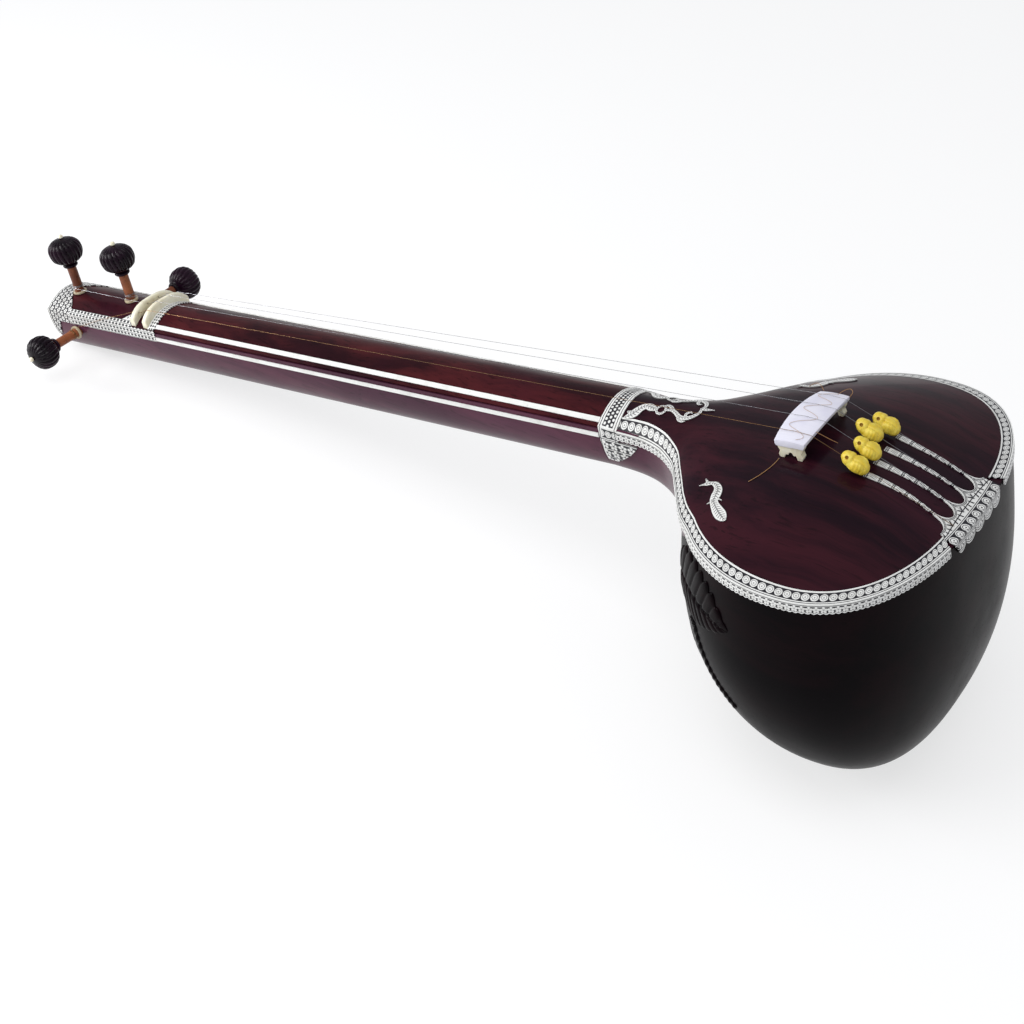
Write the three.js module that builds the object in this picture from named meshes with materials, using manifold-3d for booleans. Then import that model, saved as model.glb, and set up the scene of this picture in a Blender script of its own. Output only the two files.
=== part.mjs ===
// Tanpura, lying on its back: a hollow neck, a gourd bowl, a domed soundboard, four strings.
// Millimetres. Inside the instrument x runs along the strings toward the tail, y to the player's
// far side and z out of the face; x = 0 is the joint of neck and body. The outer group tilts it
// to the way it lies on the floor: on the flat of the gourd and on the back of the head.
import * as THREE from "three";
import Module from "manifold-3d";

const wasm = await Module();
wasm.setup();

// Neighbours that are glued or seated keep this gap
const clearance = 0.3;
// Tools that cut run past the wood by this much
const overrun = 4;

// Neck: a round-backed trough with an arched face; the nut parts the fingered length from the head
const nutX = 729;
const headLength = 209;
const neckLength = nutX + headLength;
const neckHalfWidth = 41;
const neckDepth = 66.5;
const neckArch = 15.3;
const neckWall = 5;
const facePlate = 4;
const headCapLength = 5;
const sectionFullness = 2.4;

// Body seen from above: from the joint to the tip of the bowl's round and to its widest place, from
// there back to the tail, and how far the neck's flare runs over that round
const bowlStart = 120;
const widestAt = 280;
const tailReach = 120;
const flareOverlap = 55;
const boardHalfWidth = 201;
const boardLength = widestAt + tailReach;
const bowlHeadReach = widestAt - bowlStart;
const flareLength = bowlStart + flareOverlap;
const tailFullness = 2.4;
const rimFall = 36;
const boardRise = 37.4;
const boardPlate = 4;
// Waist line between the neck and the bowl: place along the flare, place across it
const flareShares = [
  [0, 0],
  [0.143, -0.007],
  [0.229, -0.0126],
  [0.331, -0.0045],
  [0.446, 0.049],
  [0.531, 0.13],
  [0.611, 0.238],
  [0.686, 0.404],
  [0.754, 0.557],
  [0.829, 0.727],
  [0.903, 0.866],
  [1, 1],
];
// Crown of the soundboard: place along it, then how much of the neck's arch and of the dome's rise
const crownShares = [
  [0, 1, 0],
  [0.12, 0.8, 0.24],
  [0.25, 0.5, 0.5],
  [0.5, 0.15, 0.875],
  [0.6, 0, 0.995],
  [0.68, 0, 0.965],
  [0.75, 0, 0.83],
  [0.85, 0, 0.565],
  [0.925, 0, 0.29],
  [0.978, 0, 0.06],
  [1, 0, 0],
];

// Gourd: how far its waist swells past the rim at the side, the head and the tail
const gourdSideSwell = 2.5;
const gourdHeadSwell = 16;
const gourdTailSwell = 2;
const gourdHalfWidth = boardHalfWidth + gourdSideSwell;
const gourdHeadReach = bowlHeadReach + gourdHeadSwell;
const gourdTailReach = tailReach + gourdTailSwell;
const gourdWaistDrop = 120;
const gourdDepth = 216;
const gourdFullness = 2.1;
const gourdWall = 7;
const gourdSag = 12;
const restFlatDepth = 1.6;

// Heel that carries the neck on the gourd: place on the way from the joint to the gourd's waist,
// then depth between the neck's and its own
const heelSetback = 11;
const heelLength = flareLength - heelSetback;
const heelRun = widestAt - gourdHeadReach;
const heelDepth = 165;
const heelShares = [
  [0, 0],
  [0.284, 0.005],
  [0.505, 0.045],
  [0.694, 0.13],
  [0.836, 0.255],
  [0.946, 0.4],
  [1.072, 0.61],
  [1.23, 0.82],
  [1.577, 1],
];
const throatSetback = 14;
const throatLength = heelLength - throatSetback;
const throatHalfWidth = 62;
const throatDepth = 100;

// Engraved celluloid trim
const trimThickness = 1.2;
const bindingWidth = 13.5;
const bindingDrop = 10;
const rabbetDepth = 1.8;
const bandLength = 23;
const flapLength = 47;
const flapDrop = 42;
const bandDrop = 13;
const stripeWidth = 5;
const upperStripeInset = 6.1;
const lowerStripeDrop = 10.3;
const ridgeStripInset = 6.7;
const ridgeStripDrop = 14;
const headBandLength = 26;
const headBandCorner = 48;
const headBandDrop = 38;
const nutStripLength = 13;

// Nut and string guide
const nutThickness = 8.5;
const guideSetback = 24;
const nutCrown = 27;
const nutDip = 14;
const nutInset = 1.5;
const nutHalfWidth = neckHalfWidth - nutInset;
const nutFullness = 3.2;
const guideHoleDrop = 6;
const guideHoleRadius = 0.9;

// Bridge
const bridgeX = 232;
const bridgeLength = 35;
const bridgeHalfWidth = 48.5;
const bridgeTop = 35;
const bridgeArch = 6;
const bridgeFall = 1.4;
const bridgeBow = 3.5;
const bridgePlate = 7;
const legThickness = 7;
const legInset = 1.5;
const legOverhang = 1.5;

// Strings
const steelRadius = 0.2;
const bronzeRadius = 0.25;
const outerStringY = 36;
const innerStringY = 12;
const nutStringY = 27.8;
const nutInnerY = 10;
const stringTailInset = 10;
const stringTailX = boardLength - stringTailInset;
const windingTurns = 3;
const windingSteps = 14;
const windingPitch = 1.05;
const windingStand = 6;

// Tailpiece
const tailSideMargin = 11;
const tailBaseInset = 12;
const armLength = 89;
const tailHalfWidth = outerStringY + tailSideMargin;
const tailBaseX = boardLength - tailBaseInset;
const armHeadX = tailBaseX - armLength;
const armHeadWidth = 9;
const armWaistWidth = 3.2;
const armRootWidth = 12;
const apronDrop = 24;
const apronTop = 1.5;
const scallopDepth = 5;
const scallopCount = 5;

// Pegs
const shaftRadius = 6.5;
const shaftTipRadius = 5;
const shaftOut = 40;
const collarRadius = 10;
const collarLength = 6;
const pegHeadRadius = 23.5;
const pegHeadLength = 36;
const fluteCount = 13;
const fluteDepth = 2.2;
const finialRadius = 3.4;
const finialLength = 5;
const pegRingRadius = 9.5;
const pegRingLength = 3;
const frontPegYs = { first: -5.5, second: -2 };
// Two pegs keep their distance from the head's end and two from the string guide
const firstPegGap = 2.5;
const nearPegSetback = 54.5;
const secondPegSetback = 40;
const farPegSetback = 58;
const frontPegXs = {
  first: neckLength - headBandLength - pegRingRadius - firstPegGap,
  second: nutX + guideSetback + secondPegSetback,
};
const sidePegXs = { near: neckLength - nearPegSetback, far: nutX + guideSetback + farPegSetback };
const sidePegDrops = { near: 26, far: 12 };

// Tuning beads, each a resting swan threaded on its string
const beadLength = 27;
const beadWidth = 18.5;
const beadHeight = 15;
const beadHeadRadius = 7.2;
const beadEyeRadius = 1.7;
// Place of each bead along its string, from the bridge to the tail
const beadShares = { first: 0.303, second: 0.302, third: 0.237, fourth: 0.289 };

// Thread under the strings on the bridge
const threadRadius = 0.35;
const threadSwing = 11;
const threadTailLength = 42;

// Ornament
const vineGap = 4;
const vineStart = bandLength + vineGap;
const vineLength = 88;
const vineHalfWidth = 20;
const peacockSetback = 12;
const peacockInset = 45.5;
const peacockLength = 58;
const leafThickness = 2.4;

// Longest edge of a facet where a plate follows a curved surface
const leafFacet = 28;
const boardFacet = 24;
const apronFacet = 18;
const vineFacet = 14;

const pearl = { color: 0xe8e6dc, roughness: 0.35, metalness: 0 };
const bone = { color: 0xe6dfc0, roughness: 0.45, metalness: 0 };
const lacquer = { color: 0x3a0d12, roughness: 0.18, metalness: 0 };
const darkLacquer = { color: 0x1d0a10, roughness: 0.15, metalness: 0 };
const blackened = { color: 0x140c10, roughness: 0.3, metalness: 0 };
const shaftWood = { color: 0x9a4a22, roughness: 0.4, metalness: 0 };
const whitePlate = { color: 0xe4e0f0, roughness: 0.3, metalness: 0 };
const yellow = { color: 0xe8c92a, roughness: 0.4, metalness: 0 };
const steel = { color: 0xb9b9b9, roughness: 0.25, metalness: 1 };
const bronze = { color: 0x8a5a2c, roughness: 0.3, metalness: 1 };
const thread = { color: 0x9c6a2e, roughness: 0.8, metalness: 0 };

const lying = new THREE.Group();
const instrument = new THREE.Group();
lying.add(instrument);

// Reading of a share table by a smooth curve through its rows
function along(rows, place, column = 1) {
  let k = 0;
  while (k < rows.length - 2 && rows[k + 1][0] < place) k += 1;
  const slope = (i) => {
    const a = rows[Math.max(i - 1, 0)];
    const b = rows[Math.min(i + 1, rows.length - 1)];
    return (b[column] - a[column]) / (b[0] - a[0]);
  };
  const span = rows[k + 1][0] - rows[k][0];
  const u = Math.min(Math.max((place - rows[k][0]) / span, 0), 1);
  const h = u * u * (3 - 2 * u);
  return (
    rows[k][column] * (1 - h) +
    rows[k + 1][column] * h +
    span * (slope(k) * u * (1 - u) ** 2 - slope(k + 1) * u * u * (1 - u))
  );
}
const mix = THREE.MathUtils.lerp;
const clamp = THREE.MathUtils.clamp;
const at = (x, y, z) => new THREE.Vector3(x, y, z);

// Height of the rim line and of the board's edge
const rimZ = (x) => (x <= 0 ? 0 : (-rimFall * x) / boardLength);

// Half-width of the wood seen from above
function halfWidth(x) {
  if (x <= 0) return neckHalfWidth;
  const ahead = widestAt - x;
  if (ahead < 0) {
    const share = clamp(-ahead / (boardLength - widestAt), 0, 1);
    return boardHalfWidth * (1 - share ** tailFullness) ** (1 / tailFullness);
  }
  const bowl = (d) => boardHalfWidth * Math.sqrt(1 - (d / bowlHeadReach) ** 2);
  if (x >= flareLength) return bowl(ahead);
  const joined = bowl(widestAt - flareLength);
  return mix(neckHalfWidth, joined, along(flareShares, x / flareLength));
}

const riseAt = (x) =>
  x <= 0
    ? neckArch
    : neckArch * along(crownShares, x / boardLength) +
      boardRise * along(crownShares, x / boardLength, 2);

// Top of the face and of the soundboard
function boardZ(x, y) {
  const across = clamp(Math.abs(y) / Math.max(halfWidth(x), clearance), 0, 1);
  return rimZ(x) + riseAt(x) * (1 - across * across);
}

// Point over the board, lifted square to it
function overBoard(x, y, lift) {
  const reach = clearance;
  const dx = (boardZ(x + reach, y) - boardZ(x - reach, y)) / reach / 2;
  const dy = (boardZ(x, y + reach) - boardZ(x, y - reach)) / reach / 2;
  return at(x, y, boardZ(x, y) + lift * Math.sqrt(1 + dx * dx + dy * dy));
}

const bodyDepth = (x) =>
  x <= 0 ? neckDepth : mix(neckDepth, heelDepth, along(heelShares, x / heelRun));

// Point on the outside of the neck and heel: across runs from 0 at the crown over 1 at the ridge
// to 2 underneath, and lift is square to the wood
function overNeck(x, across, lift) {
  const side = Math.sign(across) || 1;
  const share = Math.abs(across);
  const half = halfWidth(x);
  const depth = bodyDepth(x);
  const top = new THREE.Vector2((2 * riseAt(x) * Math.min(share, 1)) / half, 1).normalize();
  const turn = (clamp(share - 1, 0, 1) * Math.PI) / 2;
  const power = 2 / sectionFullness;
  const flat = Math.max(Math.cos(turn), 0);
  const steep = Math.sin(turn);
  const flank = new THREE.Vector2(flat ** (2 - power) / half, -(steep ** (2 - power)) / depth);
  flank.normalize();
  const onRidge = Math.abs(share - 1) < clearance / neckDepth / 10;
  const out = share < 1 ? top : flank;
  if (onRidge) {
    out.copy(top).add(flank).normalize();
    out.divideScalar(out.dot(flank));
  }
  const y = share < 1 ? half * share : half * flat ** power;
  const rise = share < 1 ? riseAt(x) * (1 - share * share) : -depth * steep ** power;
  const z = rimZ(x) + rise;
  return at(x, side * (y + lift * out.x), z + lift * out.y);
}
const sideShare = (x, drop) =>
  1 + Math.asin(clamp(drop / bodyDepth(x), 0, 1) ** (sectionFullness / 2)) / (Math.PI / 2);

// Closed mesh from points and triangles, welded and turned to face out
function closedMesh(points, faces) {
  const grid = 1e4;
  const seen = new Map();
  const kept = [];
  const slot = points.map((p) => {
    const key = [p.x, p.y, p.z].map((c) => Math.round(c * grid)).join(" ");
    if (!seen.has(key)) {
      seen.set(key, kept.length);
      kept.push(p);
    }
    return seen.get(key);
  });
  const whole = faces
    .map((face) => face.map((i) => slot[i]))
    .filter(([a, b, c]) => a !== b && b !== c && c !== a);
  const cross = new THREE.Vector3();
  const volume = whole.reduce(
    (sum, [a, b, c]) => sum + kept[a].dot(cross.crossVectors(kept[b], kept[c])),
    0,
  );
  const index = whole.flatMap(([a, b, c]) => (volume < 0 ? [a, c, b] : [a, b, c]));
  const geometry = new THREE.BufferGeometry();
  geometry.setAttribute(
    "position",
    new THREE.BufferAttribute(new Float32Array(kept.flatMap((p) => [p.x, p.y, p.z])), 3),
  );
  geometry.setIndex(index);
  return geometry;
}

// Flat end of a loft
function cap(ring, first) {
  const normal = new THREE.Vector3();
  ring.forEach((p, i) => normal.add(new THREE.Vector3().crossVectors(p, ring[(i + 1) % ring.length])));
  const u = ring[1].clone().sub(ring[0]).normalize();
  const v = new THREE.Vector3().crossVectors(normal.normalize(), u);
  const flat = ring.map((p) => new THREE.Vector2(p.dot(u), p.dot(v)));
  return THREE.ShapeUtils.triangulateShape(flat, []).map((f) => f.map((i) => i + first));
}

// Skin over a run of rings with as many points each
function loft(rings, startCap = true, endCap = true) {
  const n = rings[0].length;
  const faces = [];
  for (let i = 0; i < rings.length - 1; i += 1) {
    for (let j = 0; j < n; j += 1) {
      const a = i * n + j;
      const b = i * n + ((j + 1) % n);
      faces.push([a, b, a + n], [b, b + n, a + n]);
    }
  }
  if (startCap) faces.push(...cap(rings[0], 0).map(([a, b, c]) => [a, c, b]));
  if (endCap) faces.push(...cap(rings[rings.length - 1], (rings.length - 1) * n));
  return closedMesh(rings.flat(), faces);
}

// Splits the triangles whose edges the cutter names, neighbours alike, until none is left
function refine(points, faces, cutter) {
  let open = faces;
  for (let again = true; again; ) {
    again = false;
    const middles = new Map();
    const middle = (i, j) => {
      const key = Math.min(i, j) + " " + Math.max(i, j);
      if (!middles.has(key)) {
        const a = points[Math.min(i, j)];
        const b = points[Math.max(i, j)];
        const share = cutter(a, b);
        middles.set(key, share ? points.push(a.clone().lerp(b, share)) - 1 : -1);
      }
      return middles.get(key);
    };
    open = open.flatMap((face) => {
      const cuts = face.map((p, k) => middle(p, face[(k + 1) % 3]));
      const count = cuts.filter((m) => m >= 0).length;
      if (count === 0) return [face];
      again = true;
      let k = cuts.findIndex((m) => m >= 0);
      if (count === 2) k = (cuts.findIndex((m) => m < 0) + 1) % 3;
      const [a, b, c] = [face[k], face[(k + 1) % 3], face[(k + 2) % 3]];
      const [ab, bc, ca] = [cuts[k], cuts[(k + 1) % 3], cuts[(k + 2) % 3]];
      if (count === 1) return [[a, ab, c], [ab, b, c]];
      if (count === 2) return [[ab, b, bc], [a, ab, c], [ab, bc, c]];
      return [[a, ab, ca], [ab, b, bc], [ca, bc, c], [ab, bc, ca]];
    });
  }
  return open;
}

// Plate that follows a surface: an outline on it, raised from low to high
function plate(outline, surface, low, high, longest, folds = [], stations = []) {
  const points = outline.map(([u, v]) => new THREE.Vector2(u, v));
  const spanU = Math.max(...outline.map(([u]) => Math.abs(u)));
  const spanV = Math.max(...outline.map(([, v]) => Math.abs(v)));
  const even = points.map((p) => new THREE.Vector2(p.x / spanU, p.y / spanV));
  let faces = THREE.ShapeUtils.triangulateShape(even, []);
  const crease = (axis, place) => {
    faces = refine(points, faces, (a, b) => {
      const share = (place - a[axis]) / (b[axis] - a[axis]);
      return share > 1e-6 && share < 1 - 1e-6 ? share : 0;
    });
  };
  folds.forEach((place) => crease("y", place));
  stations.forEach((place) => crease("x", place));
  const place = (p, lift) => surface(p.x, p.y, lift);
  const long = (a, b) => place(a, low).distanceTo(place(b, low)) > longest;
  faces = refine(points, faces, (a, b) => (long(a, b) ? 1 / 2 : 0));
  const n = points.length;
  const edges = new Map();
  faces.forEach((f) => f.forEach((p, k) => edges.set(p + " " + f[(k + 1) % 3], [p, f[(k + 1) % 3]])));
  const walls = [...edges.values()].filter(([a, b]) => !edges.has(b + " " + a));
  const skins = faces.flatMap(([a, b, c]) => [[a + n, b + n, c + n], [a, c, b]]);
  const sides = walls.flatMap(([a, b]) => [[a, b, b + n], [a, b + n, a + n]]);
  return closedMesh(
    [...points.map((p) => place(p, low)), ...points.map((p) => place(p, high))],
    [...skins, ...sides],
  );
}

// Smooth closed outline through chosen points
function smooth(rows, steps) {
  const curve = new THREE.CatmullRomCurve3(rows.map(([u, v]) => at(u, v, 0)), true, "centripetal");
  return curve.getPoints(steps).slice(0, -1).map((p) => [p.x, p.y]);
}

// Solids for joining and cutting
function solid(geometry) {
  const bare = geometry.index ? geometry.toNonIndexed() : geometry;
  const p = bare.getAttribute("position");
  const points = Array.from({ length: p.count }, (_, i) => new THREE.Vector3().fromBufferAttribute(p, i));
  const faces = Array.from({ length: p.count / 3 }, (_, i) => [3 * i, 3 * i + 1, 3 * i + 2]);
  const welded = closedMesh(points, faces);
  return new wasm.Manifold(
    new wasm.Mesh({
      numProp: 3,
      vertProperties: welded.getAttribute("position").array,
      triVerts: new Uint32Array(welded.index.array),
    }),
  );
}
function geometryOf(made) {
  const mesh = made.getMesh();
  const geometry = new THREE.BufferGeometry();
  geometry.setAttribute("position", new THREE.BufferAttribute(new Float32Array(mesh.vertProperties), 3));
  geometry.setIndex(Array.from(mesh.triVerts));
  return geometry;
}
const join = (...parts) => geometryOf(parts.map(solid).reduce((a, b) => a.add(b)));
const cut = (body, ...tools) => geometryOf(tools.map(solid).reduce((a, b) => a.subtract(b), solid(body)));

function piece(name, geometry, look) {
  geometry.computeVertexNormals();
  const mesh = new THREE.Mesh(geometry, new THREE.MeshStandardMaterial(look));
  mesh.name = name;
  instrument.add(mesh);
  return mesh;
}

// Round bar from one point to another
function bar(from, to, radius, sides = 12, endRadius = radius) {
  const run = to.clone().sub(from);
  const geometry = new THREE.CylinderGeometry(endRadius, radius, run.length(), sides);
  geometry.translate(0, run.length() / 2, 0);
  geometry.applyQuaternion(
    new THREE.Quaternion().setFromUnitVectors(at(0, 1, 0), run.clone().normalize()),
  );
  return geometry.translate(from.x, from.y, from.z);
}

// Tube through points, its section carried along without twist
function tube(route, radius, sides = 6) {
  const heading = route.map((p, i) =>
    route[Math.min(i + 1, route.length - 1)].clone().sub(route[Math.max(i - 1, 0)]).normalize(),
  );
  const side = new THREE.Vector3(0, 1, 0);
  const rings = route.map((p, i) => {
    if (i > 0) {
      side.applyQuaternion(new THREE.Quaternion().setFromUnitVectors(heading[i - 1], heading[i]));
    }
    side.addScaledVector(heading[i], -side.dot(heading[i])).normalize();
    const up = new THREE.Vector3().crossVectors(heading[i], side);
    return Array.from({ length: sides }, (_, k) => {
      const turn = (2 * Math.PI * k) / sides;
      return p
        .clone()
        .addScaledVector(side, radius * Math.cos(turn))
        .addScaledVector(up, radius * Math.sin(turn));
    });
  });
  return loft(rings);
}

// Neck trough, face and head cap
const steps = (count) => Array.from({ length: count + 1 }, (_, i) => i / count);
const underArc = (half, depth, top, count, below = 0) => {
  const power = 2 / sectionFullness;
  const first = Math.asin((below / depth) ** (1 / power));
  return steps(count).map((share) => {
    const turn = mix(first, Math.PI - first, share);
    const c = Math.cos(turn);
    return [-half * Math.sign(c) * Math.abs(c) ** power, top - depth * Math.sin(turn) ** power];
  });
};
const edgeDrop = facePlate + clearance;
const backStart = -neckLength + headCapLength + clearance;
const troughRing = (x) => {
  const outer = underArc(neckHalfWidth, neckDepth, 0, 22, edgeDrop);
  const inner = underArc(neckHalfWidth - neckWall, neckDepth - neckWall, 0, 16, edgeDrop);
  return [...outer, ...inner.reverse()].map(([y, z]) => at(x, y, z));
};
const archRing = (x) => {
  const over = steps(16).map((s) => [(2 * s - 1) * neckHalfWidth, neckArch * (1 - (2 * s - 1) ** 2)]);
  const under = over.map(([y, z]) => [y, z - facePlate]).reverse();
  return [...over, ...under].map(([y, z]) => at(x, y, z));
};

// Pegs: foot on the wood, direction out, and the wood they pass
const pegs = [
  { name: "peg_front_1", x: -frontPegXs.first, y: frontPegYs.first, out: at(0, 0, 1) },
  { name: "peg_front_2", x: -frontPegXs.second, y: frontPegYs.second, out: at(0, 0, 1) },
  { name: "peg_side_near", x: -sidePegXs.near, z: -sidePegDrops.near, out: at(0, -1, 0) },
  { name: "peg_side_far", x: -sidePegXs.far, z: -sidePegDrops.far, out: at(0, 1, 0) },
].map((peg) => {
  const front = peg.out.z > 0;
  const foot = front
    ? at(peg.x, peg.y, boardZ(peg.x, peg.y))
    : at(peg.x, peg.out.y * neckHalfWidth, peg.z);
  const farWall = front ? neckDepth + boardZ(peg.x, peg.y) : neckHalfWidth * 2;
  return { ...peg, front, foot, farWall };
});
const onPeg = (peg, out) => peg.foot.clone().addScaledVector(peg.out, out);
const pegBore = (peg) =>
  bar(
    onPeg(peg, overrun * 2),
    onPeg(peg, -peg.farWall - overrun),
    shaftRadius + clearance,
    16,
    shaftTipRadius + clearance,
  );

piece(
  "neck_trough",
  cut(loft([troughRing(backStart), troughRing(-clearance)]), ...pegs.map(pegBore)),
  darkLacquer,
);
piece(
  "neck_face",
  cut(loft([archRing(backStart), archRing(-clearance)]), ...pegs.filter((p) => p.front).map(pegBore)),
  lacquer,
);
const capRing = (x) => [
  ...underArc(neckHalfWidth, neckDepth, 0, 24).map(([y, z]) => at(x, y, z)),
  ...archRing(x).slice(1, 16).reverse(),
];
piece("head_cap", loft([capRing(-neckLength), capRing(-neckLength + headCapLength)]), darkLacquer);

// Plan of the board: a rim point and the spine point that its rib starts from
const straightRibs = 0.6;
function rib(share) {
  if (share <= straightRibs) {
    const x = (widestAt * share) / straightRibs;
    return { rim: [x, halfWidth(x)], spine: [x, 0] };
  }
  const turn = ((share - straightRibs) / (1 - straightRibs)) * (Math.PI / 2);
  const power = 2 / tailFullness;
  const reach = boardLength - widestAt;
  const rim = [
    widestAt + reach * Math.sin(turn) ** power,
    boardHalfWidth * Math.max(Math.cos(turn), 0) ** power,
  ];
  return { rim, spine: [widestAt + (reach / 2) * (1 - Math.cos(turn)), 0] };
}
const acrossRib = (r, share) => [mix(r.spine[0], r.rim[0], share), mix(r.spine[1], r.rim[1], share)];
const ribLength = (r) => Math.hypot(r.rim[0] - r.spine[0], r.rim[1] - r.spine[1]);

// Soundboard, stepped down along its edge for the binding
const boardRibs = 32;
const lastBound = boardRibs - 2;
const boardRing = (share, k) => {
  const r = rib(share);
  const step = k > lastBound ? clearance * 2 : rabbetDepth + clearance;
  const ledge = 1 - (bindingWidth + clearance * 2) / ribLength(r);
  const top = [
    ...[0, 1 / 3, 2 / 3].map((s) => [s * ledge, 0]),
    [ledge, 0],
    [ledge, step],
    [1, step],
  ];
  const low = [
    [1, boardPlate],
    [ledge / 2, boardPlate],
  ];
  const spot = ([s, drop], side) => {
    const [x, y] = acrossRib(r, s);
    return at(x, side * y, boardZ(x, y) - drop);
  };
  return [
    ...top.map((row) => spot(row, 1)),
    ...low.map((row) => spot(row, 1)),
    spot([0, boardPlate], 1),
    ...low.map((row) => spot(row, -1)).reverse(),
    ...top.slice(1).map((row) => spot(row, -1)).reverse(),
  ];
};
const boardShares = steps(boardRibs);
piece("soundboard", loft(boardShares.map(boardRing), true, false), lacquer);

// Gourd: rings from the rim through the widest level to the bottom
function gourdPoint(turn, level, inset) {
  const ahead = Math.cos(turn);
  const power = ahead > 0 ? 1 : 2 / tailFullness;
  const ellipse = (half, head, tail) => [
    widestAt - Math.sign(ahead) * (ahead > 0 ? head : tail) * Math.abs(ahead) ** power,
    Math.sign(Math.sin(turn)) * half * Math.abs(Math.sin(turn)) ** power,
  ];
  const rim = ellipse(boardHalfWidth - inset, bowlHeadReach - inset, boardLength - widestAt - inset);
  const wide = ellipse(gourdHalfWidth - inset, gourdHeadReach - inset, gourdTailReach - inset);
  if (rim[0] < flareLength) {
    rim[1] = clamp(rim[1], inset - halfWidth(rim[0]), halfWidth(rim[0]) - inset);
  }
  if (level <= 0) {
    const share = level * level;
    const top = rimZ(rim[0]) - boardPlate - clearance;
    return at(mix(wide[0], rim[0], share), mix(wide[1], rim[1], share), mix(-gourdWaistDrop, top, -level));
  }
  const tuck = Math.max(Math.cos((level * Math.PI) / 2), 0) ** (2 / gourdFullness);
  const drop = Math.sin((level * Math.PI) / 2) ** (2 / gourdFullness);
  const x = mix(widestAt, wide[0], tuck) + gourdSag * drop * drop * (1 - inset / gourdDepth);
  return at(x, wide[1] * tuck, -gourdWaistDrop - (gourdDepth - inset) * drop);
}
const gourdColumns = 40;
const gourdColumn = 2 / gourdColumns;
const gourdRing = (level, inset) =>
  Array.from({ length: gourdColumns }, (_, i) => gourdPoint(i * gourdColumn * Math.PI, level, inset));
const gourdLevels = [-1, -2 / 3, -1 / 3, 0, 1 / 6, 1 / 3, 1 / 2, 2 / 3, 5 / 6, 1];
const gourdSolid = (inset) => {
  const rings = gourdLevels.map((level) => gourdRing(level, inset));
  const lid = rings[0].map((p) => p.clone().setZ(p.z + overrun));
  return loft([lid, ...rings], true, false);
};
const gourdWallOnly = loft(
  [
    ...gourdLevels.map((level) => gourdRing(level, 0)).reverse(),
    ...gourdLevels.map((level) => gourdRing(level, gourdWall)),
  ],
  false,
  false,
);

// Heel block: outside, and the throat that opens neck and bowl to each other
const heelRing = (x, grow) => {
  const below = boardPlate + clearance;
  const arc = underArc(halfWidth(x) + grow, bodyDepth(x) + grow, rimZ(x), 22, below);
  return arc.map(([y, z]) => at(x, y, z));
};
const heelBlock = (grow) =>
  loft(steps(14).map((s) => heelRing(mix(clearance, heelLength + grow, s), grow)));
const throatRing = (x) => {
  const share = clamp(x / throatLength, 0, 1);
  const half = mix(neckHalfWidth - neckWall, throatHalfWidth, share * share);
  const deep = mix(neckDepth - neckWall, throatDepth, share * share);
  return [
    ...underArc(half, deep, 0, 18).slice(1, -1).map(([y, z]) => at(x, y, z)),
    at(x, half, 0),
    at(x, half, overrun),
    at(x, -half, overrun),
    at(x, -half, 0),
  ];
};
const throat = loft(
  [-overrun, 0, throatLength / 4, throatLength / 2, (throatLength * 3) / 4, throatLength].map(throatRing),
);
piece("neck_heel", cut(heelBlock(0), throat, gourdSolid(-clearance * 2)), darkLacquer);

// How the instrument lies: the tilt at which gourd and head touch the floor together
const lowest = (tilt) => {
  let low = Infinity;
  steps(40).forEach((level) => {
    const p = gourdPoint(0, level, 0);
    low = Math.min(low, p.x * Math.sin(tilt) + p.z * Math.cos(tilt));
    const q = gourdPoint(Math.PI, level, 0);
    low = Math.min(low, q.x * Math.sin(tilt) + q.z * Math.cos(tilt));
  });
  return low + restFlatDepth;
};
let tilt = 0;
let tiltSpan = Math.PI / 6;
for (let i = 0; i < 40; i += 1) {
  const middle = tilt + tiltSpan / 2;
  const head = -neckLength * Math.sin(middle) - neckDepth * Math.cos(middle);
  if (head > lowest(middle)) tilt = middle;
  tiltSpan /= 2;
}
const floorLevel = lowest(tilt);
lying.rotation.y = -tilt;
const toFloor = new THREE.Matrix4().makeRotationY(-tilt);
const slabSize = gourdDepth;
const slab = new THREE.BoxGeometry(slabSize, slabSize, slabSize);
const gourdFootX = gourdPoint(0, 1, 0).x * Math.cos(tilt) - gourdPoint(0, 1, 0).z * Math.sin(tilt);
slab.translate(gourdFootX, 0, floorLevel - slabSize / 2);
slab.applyMatrix4(toFloor.clone().invert());
piece("gourd_shell", cut(gourdWallOnly, slab, throat), darkLacquer);

// Carved leaves of the bowl: outline by angle from the head side and by level
const leafSides = (list, side) => list.map(([turn, level]) => [side * turn, level]);
const sideLeafShares = [
  [0.2, -0.62],
  [0.28, -0.66],
  [0.31, -0.45],
  [0.36, -0.47],
  [0.37, -0.25],
  [0.41, -0.2],
  [0.395, 0.0],
  [0.36, 0.02],
  [0.34, 0.1],
  [0.3, 0.04],
  [0.28, 0.1],
  [0.24, 0.0],
  [0.215, -0.1],
  [0.2, -0.3],
];
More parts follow.
